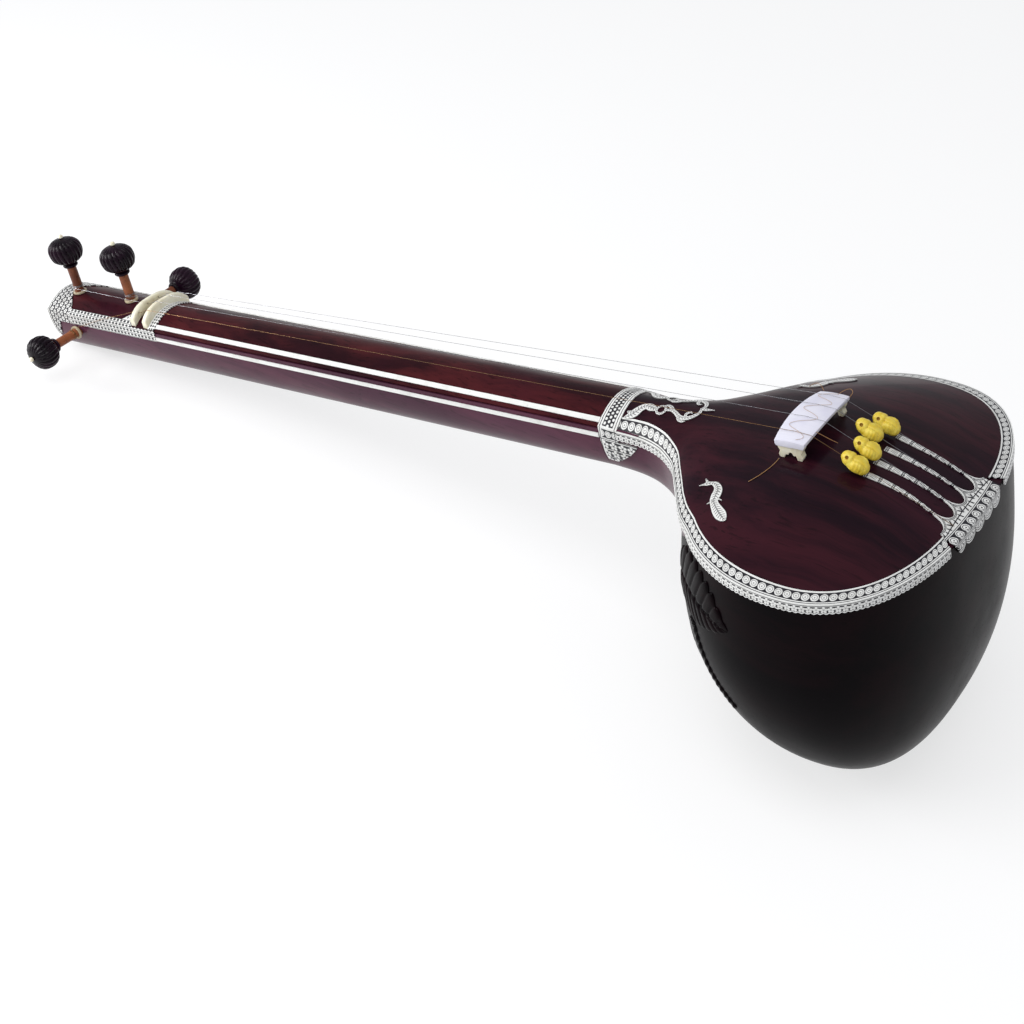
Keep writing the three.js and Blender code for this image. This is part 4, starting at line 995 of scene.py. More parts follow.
bone = make_bone("bone", (0.84, 0.80, 0.64), (0.74, 0.68, 0.49))
ring_bone = make_bone("stained bone", (0.52, 0.44, 0.30), (0.36, 0.28, 0.17))
bridge_white = make_bridge_white()
bead_yellow = make_bead_yellow()
steel_wire = make_wire("steel wire", (0.34, 0.34, 0.36), (0.20, 0.19, 0.19))
bronze_wire = make_wire("bronze wire", (0.30, 0.17, 0.08), (0.17, 0.09, 0.04))
silk = make_silk("silk thread", (0.20, 0.085, 0.02), (0.48, 0.24, 0.07))
pale_silk = make_silk("pale silk thread", (0.46, 0.33, 0.25), (0.66, 0.53, 0.44))
paint(thread_end, silk)


# Neck and heel
def neck_x(u):
    return mix(-NECK_LENGTH + HEAD_CAP + CLEARANCE, -CLEARANCE, u)


def neck_face_spot(u, v):
    y = mix(-NECK_HALF, NECK_HALF, v)
    return place(neck_x(u), y, NECK_ARCH * (1 - (y / NECK_HALF) ** 2))


def neck_side_spot(u, v):
    y, z = neck_section(-1, mix(0.985, -0.985, v))
    return place(neck_x(u), y, z)


def heel_spot(u, v):
    x = mix(CLEARANCE, HEEL_LENGTH, u)
    y, z = neck_section(x, mix(1, -1, v))
    return place(x, y, min(z, rim_z(x) - BOARD_PLATE - CLEARANCE))


neck_face = bent_grid("neck_face_skin", 60, 40, neck_face_spot, wall=FACE_PLATE)
seat(neck_face, neck_lacquer, "neck_face")
neck_back = bent_grid("neck_back_skin", 60, 72, neck_side_spot, wall=NECK_WALL)
seat(neck_back, neck_side_painted_sheen_lacquer, "neck_trough")
seat(dressed("head_cap"), neck_side_painted_sheen_lacquer, "head_cap", angle=30)
seat(bent_grid("heel_skin", 70, 90, heel_spot, wall=HEEL_WALL), neck_side_painted_sheen_lacquer, "neck_heel")


# Bowl
def gourd_point(turn, level, lift=0.0):
    """turn goes round from the head's side, level from -1 at the rim over 0 at the waist to 1 below"""
    ahead, side = math.cos(turn), math.sin(turn)
    power = 1 if ahead > 0 else 2 / TAIL_FULLNESS

    def ellipse(half, head, tail):
        reach = head if ahead > 0 else tail
        return (
            WIDEST_AT - math.copysign(reach * abs(ahead) ** power, ahead),
            math.copysign(half * abs(side) ** power, side),
        )

    rim = ellipse(BOARD_HALF + lift, BOWL_REACH + lift, TAIL_REACH + lift)
    wide = ellipse(GOURD_HALF + lift, GOURD_HEAD_REACH + lift, GOURD_TAIL_REACH + lift)
    if rim[0] < FLARE_LENGTH:
        widest = half_width(rim[0]) + lift
        rim = (rim[0], clamp(rim[1], -widest, widest))
    if level <= 0:
        share = level * level
        top = rim_z(rim[0]) - BOARD_PLATE - CLEARANCE
        return mix(wide[0], rim[0], share), mix(wide[1], rim[1], share), mix(-GOURD_WAIST_DROP, top, -level)
    tuck = max(math.cos(level * math.pi / 2), 0) ** (2 / GOURD_FULLNESS)
    drop = max(math.sin(level * math.pi / 2), 0) ** (2 / GOURD_FULLNESS)
    x = mix(WIDEST_AT, wide[0], tuck) + GOURD_SAG * drop * drop * (1 + lift / GOURD_DEPTH)
    return x, wide[1] * tuck, -GOURD_WAIST_DROP - (GOURD_DEPTH + lift) * drop


def gourd_spot(u, v):
    point = place(*gourd_point(2 * math.pi * u, mix(-1, 1, v)))
    point.z = max(point.z, 0)
    return point


bowl = bent_grid("bowl_skin", 128, 72, gourd_spot, wall=GOURD_WALL, even=False)
seat(bowl, gourd_lacquer, "gourd_shell")

# Soundboard, made of ribs from its middle line to the rim: square across as far as the widest
# place, then turning to the tail
STRAIGHT_SHARE = 0.6


def rib(share):
    """The ends of a rib at the rim and on the middle line, for shares from 0 at the joint to 1"""
    if share <= STRAIGHT_SHARE:
        x = WIDEST_AT * share / STRAIGHT_SHARE
        return (x, half_width(x)), (x, 0.0)
    turn = (share - STRAIGHT_SHARE) / (1 - STRAIGHT_SHARE) * math.pi / 2
    power = 2 / TAIL_FULLNESS
    rim = (
        WIDEST_AT + TAIL_REACH * math.sin(turn) ** power,
        BOARD_HALF * max(math.cos(turn), 0) ** power,
    )
    return rim, (WIDEST_AT + TAIL_REACH / 2 * (1 - math.cos(turn)), 0.0)


def on_rib(rim, spine, share):
    return mix(spine[0], rim[0], share), mix(spine[1], rim[1], share)


HALF_COLUMNS = 50
LEDGE_COLUMN = HALF_COLUMNS - 2


def board_spot(u, v):
    """The last two columns on each side form the rabbet for the binding"""
    rim, spine = rib(u)
    side = 2 * v - 1
    ledge = 1 - (BINDING_WIDTH + 2 * CLEARANCE) / math.dist(rim, spine)
    column = round(abs(side) * HALF_COLUMNS)
    if column <= LEDGE_COLUMN:
        share, drop = ledge * column / LEDGE_COLUMN, 0.0
    else:
        share, drop = (1 if column == HALF_COLUMNS else ledge), RABBET + CLEARANCE
    x, y = on_rib(rim, spine, share)
    return place(x, math.copysign(y, side), board_z(x, y) - drop)


board = bent_grid("soundboard_skin", 100, 2 * HALF_COLUMNS, board_spot, wall=3.5)
seat(board, board_lacquer, "soundboard")

# Binding of the edge: a strip on the board and one down its side, from the joint band to the apron
RIB_COUNT = 600
SCALLOP_PITCH = 5.4
rim_points = [rib(k / RIB_COUNT)[0] for k in range(RIB_COUNT + 1)]
rim_run = [0.0]
for first, second in zip(rim_points, rim_points[1:]):
    rim_run.append(rim_run[-1] + math.dist(first, second))


def run_at(share):
    """Millimetres along the rim for a rib's share"""
    k = clamp(share * RIB_COUNT, 0, RIB_COUNT - 1e-6)
    return mix(rim_run[int(k)], rim_run[int(k) + 1], k - int(k))


@cache
def share_at(run):
    """A rib's share for millimetres along the rim"""
    k = max(i for i, length in enumerate(rim_run[:-1]) if length <= run)
    return (k + (run - rim_run[k]) / (rim_run[k + 1] - rim_run[k])) / RIB_COUNT


run_from = run_at(STRAIGHT_SHARE * (BAND_LENGTH + CLEARANCE) / WIDEST_AT)
run_to = run_at(30 / 32)


def swell_at(x, y):
    """How far the bowl stands out past the rim at the binding's lower edge"""
    level = -1 + BINDING_DROP / GOURD_WAIST_DROP
    if x > WIDEST_AT:
        turn = math.atan2(y, WIDEST_AT - x)
        low, top = gourd_point(turn, level), gourd_point(turn, -1)
        return math.dist(low[:2], (WIDEST_AT, 0)) - math.dist(top[:2], (WIDEST_AT, 0))
    share = level * level
    ahead = (WIDEST_AT - x) / mix(GOURD_HEAD_REACH, BOWL_REACH, share)
    return mix(GOURD_HALF, BOARD_HALF, share) * math.sqrt(max(1 - ahead * ahead, 0)) - y


def binding_spot(side):
    """v runs outwards over the strip on the board up to 0.5, then down the strip on the side"""

    def spot(u, v):
        run = mix(run_from, run_to, u)
        rim, spine = rib(share_at(run))
        length = math.dist(rim, spine)
        if v <= 0.5:
            out = mix(-BINDING_WIDTH, BINDING_OVERHANG, v * 2)
            level = board_z(*on_rib(rim, spine, 1 + min(out, 0) / length))
            x, y = on_rib(rim, spine, 1 + out / length)
            return place(x, side * y, level)
        down = (v - 0.5) * 2
        lobe = abs(math.sin(math.pi * run / SCALLOP_PITCH))
        drop = BINDING_DROP * down * mix(1, 0.86 + 0.14 * lobe, down)
        lean = max(swell_at(*rim), 0) + 2 * CLEARANCE
        x, y = on_rib(rim, spine, 1 + (BINDING_OVERHANG + lean * down) / length)
        return place(x, side * y, rim_z(rim[0]) - drop)

    return spot


def binding_uv(u, v):
    run = mix(run_from, run_to, u)
    top = BINDING_WIDTH + BINDING_OVERHANG
    return run, (v * 2 * top if v <= 0.5 else top + (v - 0.5) * 2 * BINDING_DROP)


for label, side in SIDES:
    name = "edge_binding_" + label
    strip = bent_grid(name, 560, 12, binding_spot(side), wall=TRIM, flip=side < 0, uv=binding_uv)
    seat(strip, binding_engraving, "binding_" + label, angle=50)


# Flat trim
def round_neck(x, y, z):
    """Along the neck and round it: over the face, then down the sides"""
    if z > rim_z(x) - RIDGE_ROUND:
        return x, y
    return x, math.copysign(NECK_HALF + RIDGE_ROUND - (z - rim_z(x)), y)


for node, material in (
    ("joint_band", joint_engraving),
    ("head_band", head_engraving),
    ("ridge_strip_near", ridge_engraving),
    ("ridge_strip_far", ridge_engraving),
    ("nut_strip", nut_engraving),
    ("stripe_upper_near", line_celluloid),
    ("stripe_lower_near", line_celluloid),
    ("stripe_upper_far", line_celluloid),
    ("stripe_lower_far", line_celluloid),
):
    seat(dressed(node, round_neck), material, node, angle=40)

# Cut ornaments on the soundboard
STRIP_WALL = TRIM - 0.1
STRIP_CROWN = 0.25
LEAST_HALF = 0.25
SLOPE_SHARE = 0.01
RING_KNOTS = 12


def through(knots, s, column):
    """A smooth value along evenly numbered knots, s from 0 to 1"""
    rows = [(k / (len(knots) - 1), knot[column]) for k, knot in enumerate(knots)]
    return along(rows, s)


def stroke(name, knots, side=1, columns=48, lift=0.0, true_width=False, bold=1.0):
    """A cut strip on the soundboard: each knot is x, y and half-width in millimetres"""

    def middle(u):
        return through(knots, u, 0), through(knots, u, 1)

    runs = [0.0]
    for k in range(columns):
        runs.append(runs[-1] + math.dist(middle(k / columns), middle((k + 1) / columns)))

    def spot(u, v):
        across = 2 * v - 1
        x, y = middle(u)
        ahead, behind = middle(min(u + SLOPE_SHARE, 1)), middle(max(u - SLOPE_SHARE, 0))
        dx, dy = ahead[0] - behind[0], ahead[1] - behind[1]
        length = math.hypot(dx, dy) or 1
        half = max(through(knots, u, 2), LEAST_HALF) * bold
        x, y = x - dy / length * half * across, y + dx / length * half * across
        crown = STRIP_CROWN * (1 - across * across)
        return over_board(x, side * y, CLEARANCE + TRIM - STRIP_CROWN + crown + lift)

    def unwrap(u, v):
        """Millimetres along it, and -1 to 1 across it, or millimetres with a true width"""
        k = min(int(u * columns), columns - 1)
        run = mix(runs[k], runs[k + 1], u * columns - k)
        return run, (2 * v - 1) * (through(knots, u, 2) if true_width else 1)

    return bent_grid(name, columns, 6, spot, wall=STRIP_WALL, flip=side < 0, uv=unwrap, even=False)


def ring_knots(x, y, radius, half):
    turns = [2 * math.pi * k / RING_KNOTS for k in range(RING_KNOTS + 1)]
    return [(x + radius * math.cos(turn), y + radius * math.sin(turn), half) for turn in turns]


# One side of the vine: main stem, its twig, ring, long scroll and three tendrils
vine_stem = (
    (26.5, 28, 0.7),
    (31, 25, 2.0),
    (36, 20.5, 3.0),
    (40, 14.5, 2.6),
    (45, 10.6, 2.4),
    (51, 11.2, 2.8),
    (57.6, 12.6, 1.3),
)
vine_scroll = (
    (68.6, 11.2, 0.9),
    (75.8, 10.2, 1.5),
    (81.3, 12.7, 1.6),
    (87, 16.4, 1.8),
    (92.5, 18, 1.9),
    (99, 16.8, 1.9),
    (104.2, 12, 1.6),
    (106.6, 6, 1.3),
    (105.6, 0.6, 1.0),
)
# Each stroke's knots, columns and boldness
vine_strokes = (
    (vine_stem, 36, 1.6),
    (((26.8, 21.2, 0.6), (31, 21.4, 1.5), (36.5, 19.6, 1.6)), 36, 1.35),
    (ring_knots(63.3, 11.8, 5.2, 0.95), 36, 1.35),
    (vine_scroll, 60, 1.35),
    (((77, 10.4, 1.3), (73, 6.4, 1.5), (68.4, 4.4, 1.1), (64.6, 5.4, 0.4)), 36, 1.35),
    (((86, 15.6, 1.0), (89, 20.2, 1.3), (94, 22.4, 1.0), (98, 21.8, 0.3)), 36, 1.35),
    (((96, 17.6, 1.0), (94, 12.4, 1.2), (97, 8.4, 1.1), (100.4, 9.8, 0.4)), 36, 1.35),
)
vine_tip = ((104, 0, 1.0), (109.5, 0.4, 2.2), (114, 1.4, 1.5), (119.5, 2.4, 0.3))
vines = []
for label, side in SIDES:
    for k, (knots, columns, bold) in enumerate(vine_strokes):
        vines.append(stroke("vine_%s_%d" % (label, k), knots, side, columns, 0.02 * k, bold=bold))
vines.append(stroke("vine_tip", vine_tip, 1, 24, 0.15))
seat(joined("vine_scrolls", vines), feather_engraving, "vine_ornament", angle=40)

# A peacock's body from beak to tail, then its crest and two plumes
peacock_body = (
    (160.8, 102.8, 0.3),
    (164.6, 101.2, 1.1),
    (168.4, 99.6, 2.4),
    (172.4, 98.4, 1.9),
    (176.6, 98.8, 2.7),
    (181, 101.8, 3.5),
    (184, 106.6, 4.5),
    (185, 112.6, 5.0),
    (186, 118.4, 4.0),
    (190.2, 124, 4.2),
    (196, 129.4, 5.4),
    (202, 134.2, 5.7),
    (207, 137.8, 3.8),
    (210.4, 139.4, 0.6),
)
peacock_strokes = (
    (peacock_body, 84),
    (((168.6, 98.8, 0.9), (166.2, 96.4, 1.0), (163.6, 94, 0.3)), 18),
    (((186, 118.6, 1.1), (183.6, 121.2, 0.9), (180.8, 123.6, 0.3)), 18),
    (((187.6, 114.6, 1.0), (191, 116.6, 0.8), (194.4, 117.4, 0.3)), 18),
)
for label, side in SIDES:
    parts = []
    for k, (knots, columns) in enumerate(peacock_strokes):
        parts.append(stroke("bird_%s_%d" % (label, k), knots, side, columns, 0.03 * k))
    bird = joined("bird_" + label, parts)
    seat(bird, feather_engraving, "peacock_" + label, angle=40)

# Tailpiece: four arms, each with the y of its foot and of its head and how far it bulges between
ARM_HEAD = 300.5
ARM_FOOT = 374
ARM_KNOTS = 12
ARMS = ((-36, -31.5, 3.2), (-12, -9.6, 2.0), (12, 14.4, 1.6), (36, 40.5, 0.6))
arms = []
for k, (foot_y, head_y, bulge) in enumerate(ARMS):
    knots = []
    for step in range(ARM_KNOTS + 1):
        s = step / ARM_KNOTS
        y = mix(head_y, foot_y, s) + bulge * math.sin(math.pi * s)
        half = mix(3.9, 1.5, s**0.85) if step else 3.6
        knots.append((mix(ARM_HEAD, ARM_FOOT, s), y, half))
    arms.append(stroke("arm_%d" % k, knots, columns=72, true_width=True))
seat(joined("tail_arms", arms), arms_engraving, "tailpiece", angle=40)

# Foot of the tailpiece, cut in a round between the arms
FOOT_NEAR = -54
FOOT_FAR = 46.5
FOOT_MARGIN = 5.5
FAN_START = 372
FAN_DEPTH = 12.5
FAN_HALF = 10.3
ARM_FOOT_HALF = 1.7


def rim_x(y):
    """Where the board's edge lies at the tail"""
    reach = (1 - (abs(y) / BOARD_HALF) ** TAIL_FULLNESS) ** (1 / TAIL_FULLNESS)
    return WIDEST_AT + TAIL_REACH * reach


def foot_place(u, v):
    y = mix(FOOT_NEAR, FOOT_FAR, v)
    away = min(abs(y - foot_y) for foot_y, head_y, bulge in ARMS)
    share = clamp((away - ARM_FOOT_HALF) / FAN_HALF, 0, 1)
    inner = FAN_START + FAN_DEPTH * math.sqrt(1 - (1 - share) ** 2)
    return mix(inner, rim_x(y) - FOOT_MARGIN, u), y


def foot_spot(u, v):
    return over_board(*foot_place(u, v), CLEARANCE + TRIM - 0.05)


foot = bent_grid("tail_fans", 16, 200, foot_spot, wall=STRIP_WALL, uv=foot_place, even=False)
seat(foot, fan_engraving, "tailpiece", angle=40)

# Apron over the edge of the board: its flat top for u up to the share, then its scallops. Its near
# end leans in and follows the bowl.
APRON_TOP_SHARE = 0.3
APRON_LEAN = 8
APRON_LEAN_POWER = 12


def apron_reach(y):
    """How far down the bowl it hangs"""
    lobe = abs(math.sin(math.pi * (y - APRON_NEAR) / LOBE_PITCH))
    return APRON_DROP + LOBE_DROP * lobe**0.6


def apron_spot(u, v):
    y = mix(APRON_NEAR, APRON_FAR, v)
    if u <= APRON_TOP_SHARE:
        inwards = mix(APRON_INSET, -TRIM, u / APRON_TOP_SHARE)
        return over_board(rim_x(y) - inwards, y, CLEARANCE + TRIM + 0.1)
    down = (u - APRON_TOP_SHARE) / (1 - APRON_TOP_SHARE)
    drop = apron_reach(y) * down
    y = y + APRON_LEAN * down * (1 - v) ** APRON_LEAN_POWER
    turned_side = math.copysign((abs(y) / BOARD_HALF) ** (TAIL_FULLNESS / 2), y)
    turn = math.atan2(turned_side, -math.sqrt(1 - turned_side**2))
    level = -1 + max(drop - BOARD_PLATE, 0) / (GOURD_WAIST_DROP - RIM_FALL - BOARD_PLATE)
    point = gourd_point(turn, level, 2 * CLEARANCE + TRIM)
    return place(point[0], y, rim_z(rim_x(y)) + CLEARANCE - drop)


def apron_uv(u, v):
    y = mix(APRON_NEAR, APRON_FAR, v)
    if u <= APRON_TOP_SHARE:
        return y, u / APRON_TOP_SHARE * APRON_TOP
    down = (u - APRON_TOP_SHARE) / (1 - APRON_TOP_SHARE)
    return y, APRON_TOP + down * apron_reach(y)


apron = bent_grid("apron_scallops", 40, 210, apron_spot, wall=STRIP_WALL, uv=apron_uv, even=False)
seat(apron, apron_engraving, "tail_apron", angle=50)

# Carved leaves of the bowl: rows of a share along the leaf, and the turn and level there
LEAF_MIDRIB = (
    (0, 0.225, -0.42),
    (0.25, 0.262, -0.45),
    (0.5, 0.31, -0.42),
    (0.75, 0.362, -0.39),
    (1, 0.416, -0.345),
)
LEAF_UPPER = (
    (0, 0.222, -0.62),
    (0.2, 0.262, -0.83),
    (0.42, 0.318, -0.89),
    (0.6, 0.353, -0.82),
    (0.75, 0.378, -0.72),
    (0.88, 0.398, -0.55),
    (1, 0.418, -0.37),
)
LEAF_LOWER = (
    (0, 0.228, -0.25),
    (0.15, 0.245, -0.18),
    (0.35, 0.285, -0.1),
    (0.55, 0.325, -0.1),
    (0.75, 0.365, -0.18),
    (0.9, 0.4, -0.27),
    (1, 0.418, -0.335),
)
BEADED_RIB = ((0, 0.287, -0.06), (0.3, 0.306, 0.04), (0.6, 0.335, 0.14), (1, 0.382, 0.235))
LEAF_HEIGHT = 2.5
BACK_LEAF_HEIGHT = 2.3
BEAD_HEIGHT = 2.0
UPPER_LOBES = 9
LOWER_RIBS = 11
BACK_RIBS = 11
BEAD_COUNT = 15


def on_gourd(turn, level, lift):
    return place(*gourd_point(turn * math.pi, level, lift))


def thinned(across):
    """Full height over a leaf, down to nothing at its edges"""
    return max(1 - abs(across) ** 6, 0) ** 0.5


def leaf_spot(side):
    """A lobed leaf on the bowl: lobes above its midrib, straight ribs below"""

    def spot(u, v):
        across = 2 * v - 1
        reach = abs(across)
        edge_rows, count, sweep = (LEAF_LOWER, LOWER_RIBS, 0.9)
        if across > 0:
            edge_rows, count, sweep = (LEAF_UPPER, UPPER_LOBES, 0.5)
        lobes = abs(math.sin(math.pi * (u * count - reach * sweep)))
        reach *= 1 - 0.2 * (1 - lobes) * reach**2
        turn = mix(along(LEAF_MIDRIB, u), along(edge_rows, u), reach)
        level = mix(along(LEAF_MIDRIB, u, 2), along(edge_rows, u, 2), reach)
        vein = 1 - 0.7 * math.exp(-((across / 0.08) ** 2)) - 0.6 * (1 - lobes) ** 2
        ends = min(1, 8 * u + 0.2, 8 * (1 - u) + 0.1)
        lift = 0.35 + LEAF_HEIGHT * thinned(across) * vein * ends
        return on_gourd(side * turn, level, lift)

    return spot


def beaded_rib_spot(side):
    """A narrow beaded rib that runs down the bowl from the leaf's foot"""

    def spot(u, v):
        across = 2 * v - 1
        turn = along(BEADED_RIB, u) + across * 0.006
        level = along(BEADED_RIB, u, 2) - across * 0.014
        bead = abs(math.sin(math.pi * BEAD_COUNT * u))
        lift = 0.3 + BEAD_HEIGHT * bead**0.5 * math.sqrt(max(1 - across * across, 0))
        return on_gourd(side * turn, level, lift)

    return spot


def back_leaf_spot(u, v):
    """A leaf down the middle of the bowl's back, u from its stalk to its tip"""
    level = mix(1 / 12, 0.7, u)
    across = 2 * v - 1
    lobes = abs(math.sin(math.pi * u * BACK_RIBS))
    ribs = abs(math.sin(math.pi * (u * BACK_RIBS + abs(across) * 1.6)))
    half = 0.255 * math.sqrt(max(1 - u**2.4, 0)) * (0.9 + 0.1 * lobes)
    vein = 1 - 0.5 * math.exp(-((across / 0.05) ** 2)) - 0.4 * (1 - ribs) ** 2
    lift = 0.4 + BACK_LEAF_HEIGHT * thinned(across) * vein * min(1, 8 * u + 0.1, 8 * (1 - u))
    return on_gourd(across * half, level, lift)


for label, side in SIDES:
    frond = bent_grid("carved_leaf_" + label, 150, 60, leaf_spot(side), flip=side > 0)
    rib_row = bent_grid("beaded_rib_" + label, 180, 8, beaded_rib_spot(side), flip=side > 0)
    leaf = joined("carved_leaf_" + label, [frond, rib_row])
    seat(leaf, gourd_lacquer, "leaf_" + label, angle=60)

back_leaf = bent_grid("carved_leaf_back", 132, 96, back_leaf_spot, flip=True)
seat(back_leaf, gourd_lacquer, "leaf_back", angle=60)

# Nuts and bridge
for node in ("string_nut", "string_guide", "bridge_leg_near", "bridge_leg_far"):
    piece = dressed(node)
    bevel(piece, 0.5, 2, 40)
    seat(piece, bone, node)

plate = dressed("bridge_plate")
bevel(plate, 0.8, 3, 35)
seat(plate, bridge_white, "bridge_plate", angle=25)

# Thread on the bridge, in three waves under the strings, and its loose loops
THREAD_STEPS = 240
THREAD_WAVES = 3
THREAD_SWING = 11
THREAD_SPAN = BRIDGE_HALF * 0.93
LOOP_STEPS = 20
PALE_THREAD_RADIUS = 0.22
LOOP_THREAD_RADIUS = 0.26


def zigzag_route():
    route = []
    for k in range(THREAD_STEPS + 1):
        s = k / THREAD_STEPS
        y = mix(-THREAD_SPAN, THREAD_SPAN, s)
        x = BRIDGE_X + THREAD_SWING * math.sin(s * math.pi * 2 * THREAD_WAVES + math.pi / 6)
        route.append(place(x, y, bridge_z(x, y) + CLEARANCE + THREAD_RADIUS))
    return route


def thread_loop(knots):
    """A short loop of the same thread through a few places"""
    route = []
    for k in range(LOOP_STEPS + 1):
        route.append(place(*(through(knots, k / LOOP_STEPS, column) for column in range(3))))
    return route


rear_loop = ((247, -27, 37.5), (250.5, -27, 36.8), (257, -26.4, 34), (264, -25.4, 30.5), (271, -24.4, 27.5))
far_loop = ((238, 43, 37), (243, 47.5, 40.2), (248, 51, 40.8), (251.5, 48.5, 39), (250, 44.5, 35.5))
head_loop = ((222, 45, 37.5), (216, 50, 40.5), (208, 54, 38.5), (200, 55, 32.5))
tails = [thread_loop(knots) for knots in (rear_loop, far_loop, head_loop)]
zigzag = round_thread("bridge_thread", [zigzag_route()], PALE_THREAD_RADIUS)
paint(zigzag, pale_silk)
brown_tails = round_thread("bridge_thread_tails", tails, LOOP_THREAD_RADIUS)
paint(brown_tails, silk)
carry(brown_tails, "jiva_thread")
carry(zigzag, "jiva_thread")

# Strings
for node in ("string_1_bronze", "string_2", "string_3", "string_4"):
    paint(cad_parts[node], bronze_wire if node == "string_1_bronze" else steel_wire)

# Pegs: where each one's axis meets the neck, and the way that it points
SHAFT_OUT = 40
COLLAR = 6
HEAD_LENGTH = 36
HEAD_GROOVES = 20
GROOVE_DEPTH = 2.4
GROOVE_SWEEP = 0.35
BUTTON_LENGTH = 5


def on_face(x, y):
    return Vector((x, y, board_z(x, y)))


PEGS = {
    "peg_front_1": (on_face(-900, -5.5), Vector((0, 0, 1))),
    "peg_front_2": (on_face(-793, -2), Vector((0, 0, 1))),
    "peg_side_near": (Vector((-883.5, -NECK_HALF, -26)), Vector((0, -1, 0))),
    "peg_side_far": (Vector((-811, NECK_HALF, -12)), Vector((0, 1, 0))),
}
# Along a peg's head from its collar: the share, the radius and how deep the grooves are
HEAD_PROFILE = (
    (0, 8.5, 0),
    (0.03, 10, 0),
    (0.09, 10, 0),
    (0.12, 7.6, 0),
    (0.15, 9.4, 0.1),
    (0.2, 15.2, 0.5),
    (0.32, 20.8, 1),
    (0.55, 23.4, 1),
    (0.75, 22, 1),
    (0.88, 17.5, 0.9),
    (0.96, 11, 0.6),
    (1, 3.9, 0.1),
)


def turned(name, foot, out, start, length, radius_at, columns, rows):
    """A shape turned about a peg's axis, from start over length"""
    first = Vector((1, 0, 0))
    second = out.cross(first)

    def spot(u, v):
        turn = 2 * math.pi * u
        away = (first * math.cos(turn) + second * math.sin(turn)) * radius_at(turn, v)
        return place(*(foot + out * (start + length * v) + away))

    piece = bent_grid(name, columns, rows, spot)
    edit_all(piece, close_ends, face_out, bpy.ops.mesh.quads_convert_to_tris)
    return piece


def melon_radius(turn, v):
    """A collar and a ball with grooves that sweep round it"""
    groove = abs(math.sin((turn + GROOVE_SWEEP * v) * HEAD_GROOVES / 2))
    return along(HEAD_PROFILE, v) - GROOVE_DEPTH * along(HEAD_PROFILE, v, 2) * (1 - groove**0.6)


def button_radius(turn, v):
    """A small button with a round end, the same all round"""
    if v < 0.6:
        return 3.4 * (0.72 + 0.28 * math.sin(math.pi * min(v * 1.6, 1)))
    return 3.3 * math.sqrt(max(1 - ((v - 0.5) / 0.52) ** 2, 0.01))


for label, (foot, out) in PEGS.items():
    head_end = SHAFT_OUT + COLLAR + HEAD_LENGTH
    head = turned(label + "_melon", foot, out, SHAFT_OUT, COLLAR + HEAD_LENGTH, melon_radius, 160, 60)
    seat(head, peg_wood, label + "_head", body=label, angle=70)
    button = turned(label + "_button", foot, out, head_end + CLEARANCE, BUTTON_LENGTH, button_radius, 32, 20)
    seat(button, bone, label + "_finial", body=label, angle=60)
    seat(dressed(label + "_shaft"), shaft_wood, label + "_shaft", body=label, angle=40)
    ring = dressed(label + "_ring")
    bevel(ring, 0.3, 2, 50)
    seat(ring, ring_bone, label + "_ring", angle=40)

# Tuning beads: a swan in its own millimetres, x to its head and z up, grown from balls.
# Each ball has a place, its half-axes and a lean about y.
SWAN_BALLS = (
    ((-2.4, 0, 0), (11, 9.1, 7.3), 0),
    ((4.5, 0, 0.6), (7.6, 7.4, 6.9), 0),
    ((7.6, 0, 1.6), (5.6, 5.8, 5.6), 0),
    ((-7.6, 0, -0.4), (6.2, 7.6, 6.4), 0.5),
    ((-3.5, 5.2, 1.2), (6.6, 3.4, 5.2), 0.25),
    ((-3.5, -5.2, 1.2), (6.6, 3.4, 5.2), 0.25),
)
SWAN_DETAIL = 0.42
EYE_RADIUS = 1.7
EYE_DEPTH = 7
EYE_X, EYE_Y, EYE_Z = 7.2, 5.0, 4.6
EYE_LEAN = 0.95
# How a swan is stretched along its string, across it, above and below, and how it is set on it
SWAN_LENGTH_SHARE = 1.12
SWAN_WIDTH_SHARE = 1.1
SWAN_UPPER_SHARE = 1.1
SWAN_LOWER_SHARE = 0.93
SWAN_SETBACK = 1.4
SWAN_RISE = 0.3
# Each string's place across the tailpiece, radius and bead's share of the way from the bridge
STRINGS = ((-36, 0.25, 0.303), (-12, 0.2, 0.302), (12, 0.2, 0.237), (36, 0.2, 0.289))
STRING_TAIL_X = 390
TAIL_STAND = 1.5 + 0.45
BRIDGE_STAND = 1.6


def swan_groove(px, py, pz):
    """How far the surface sinks at wings, feathers and neck"""
    wing = feather = neck = 0
    if pz > 0.5 and px < 2:
        wing = math.exp(-(((abs(py) - 3.6 - 0.10 * (px + 4)) / 0.8) ** 2))
    if abs(py) > 4.5 and pz > -1 and px < 1:
        feather = 0.5 + 0.5 * math.sin(px * 2.1 + abs(py) * 0.9)
    if pz > -2:
        neck = math.exp(-(((px - 2.6 + 0.12 * abs(py)) / 0.9) ** 2))
    return -0.55 * wing - 0.28 * feather - 0.6 * neck


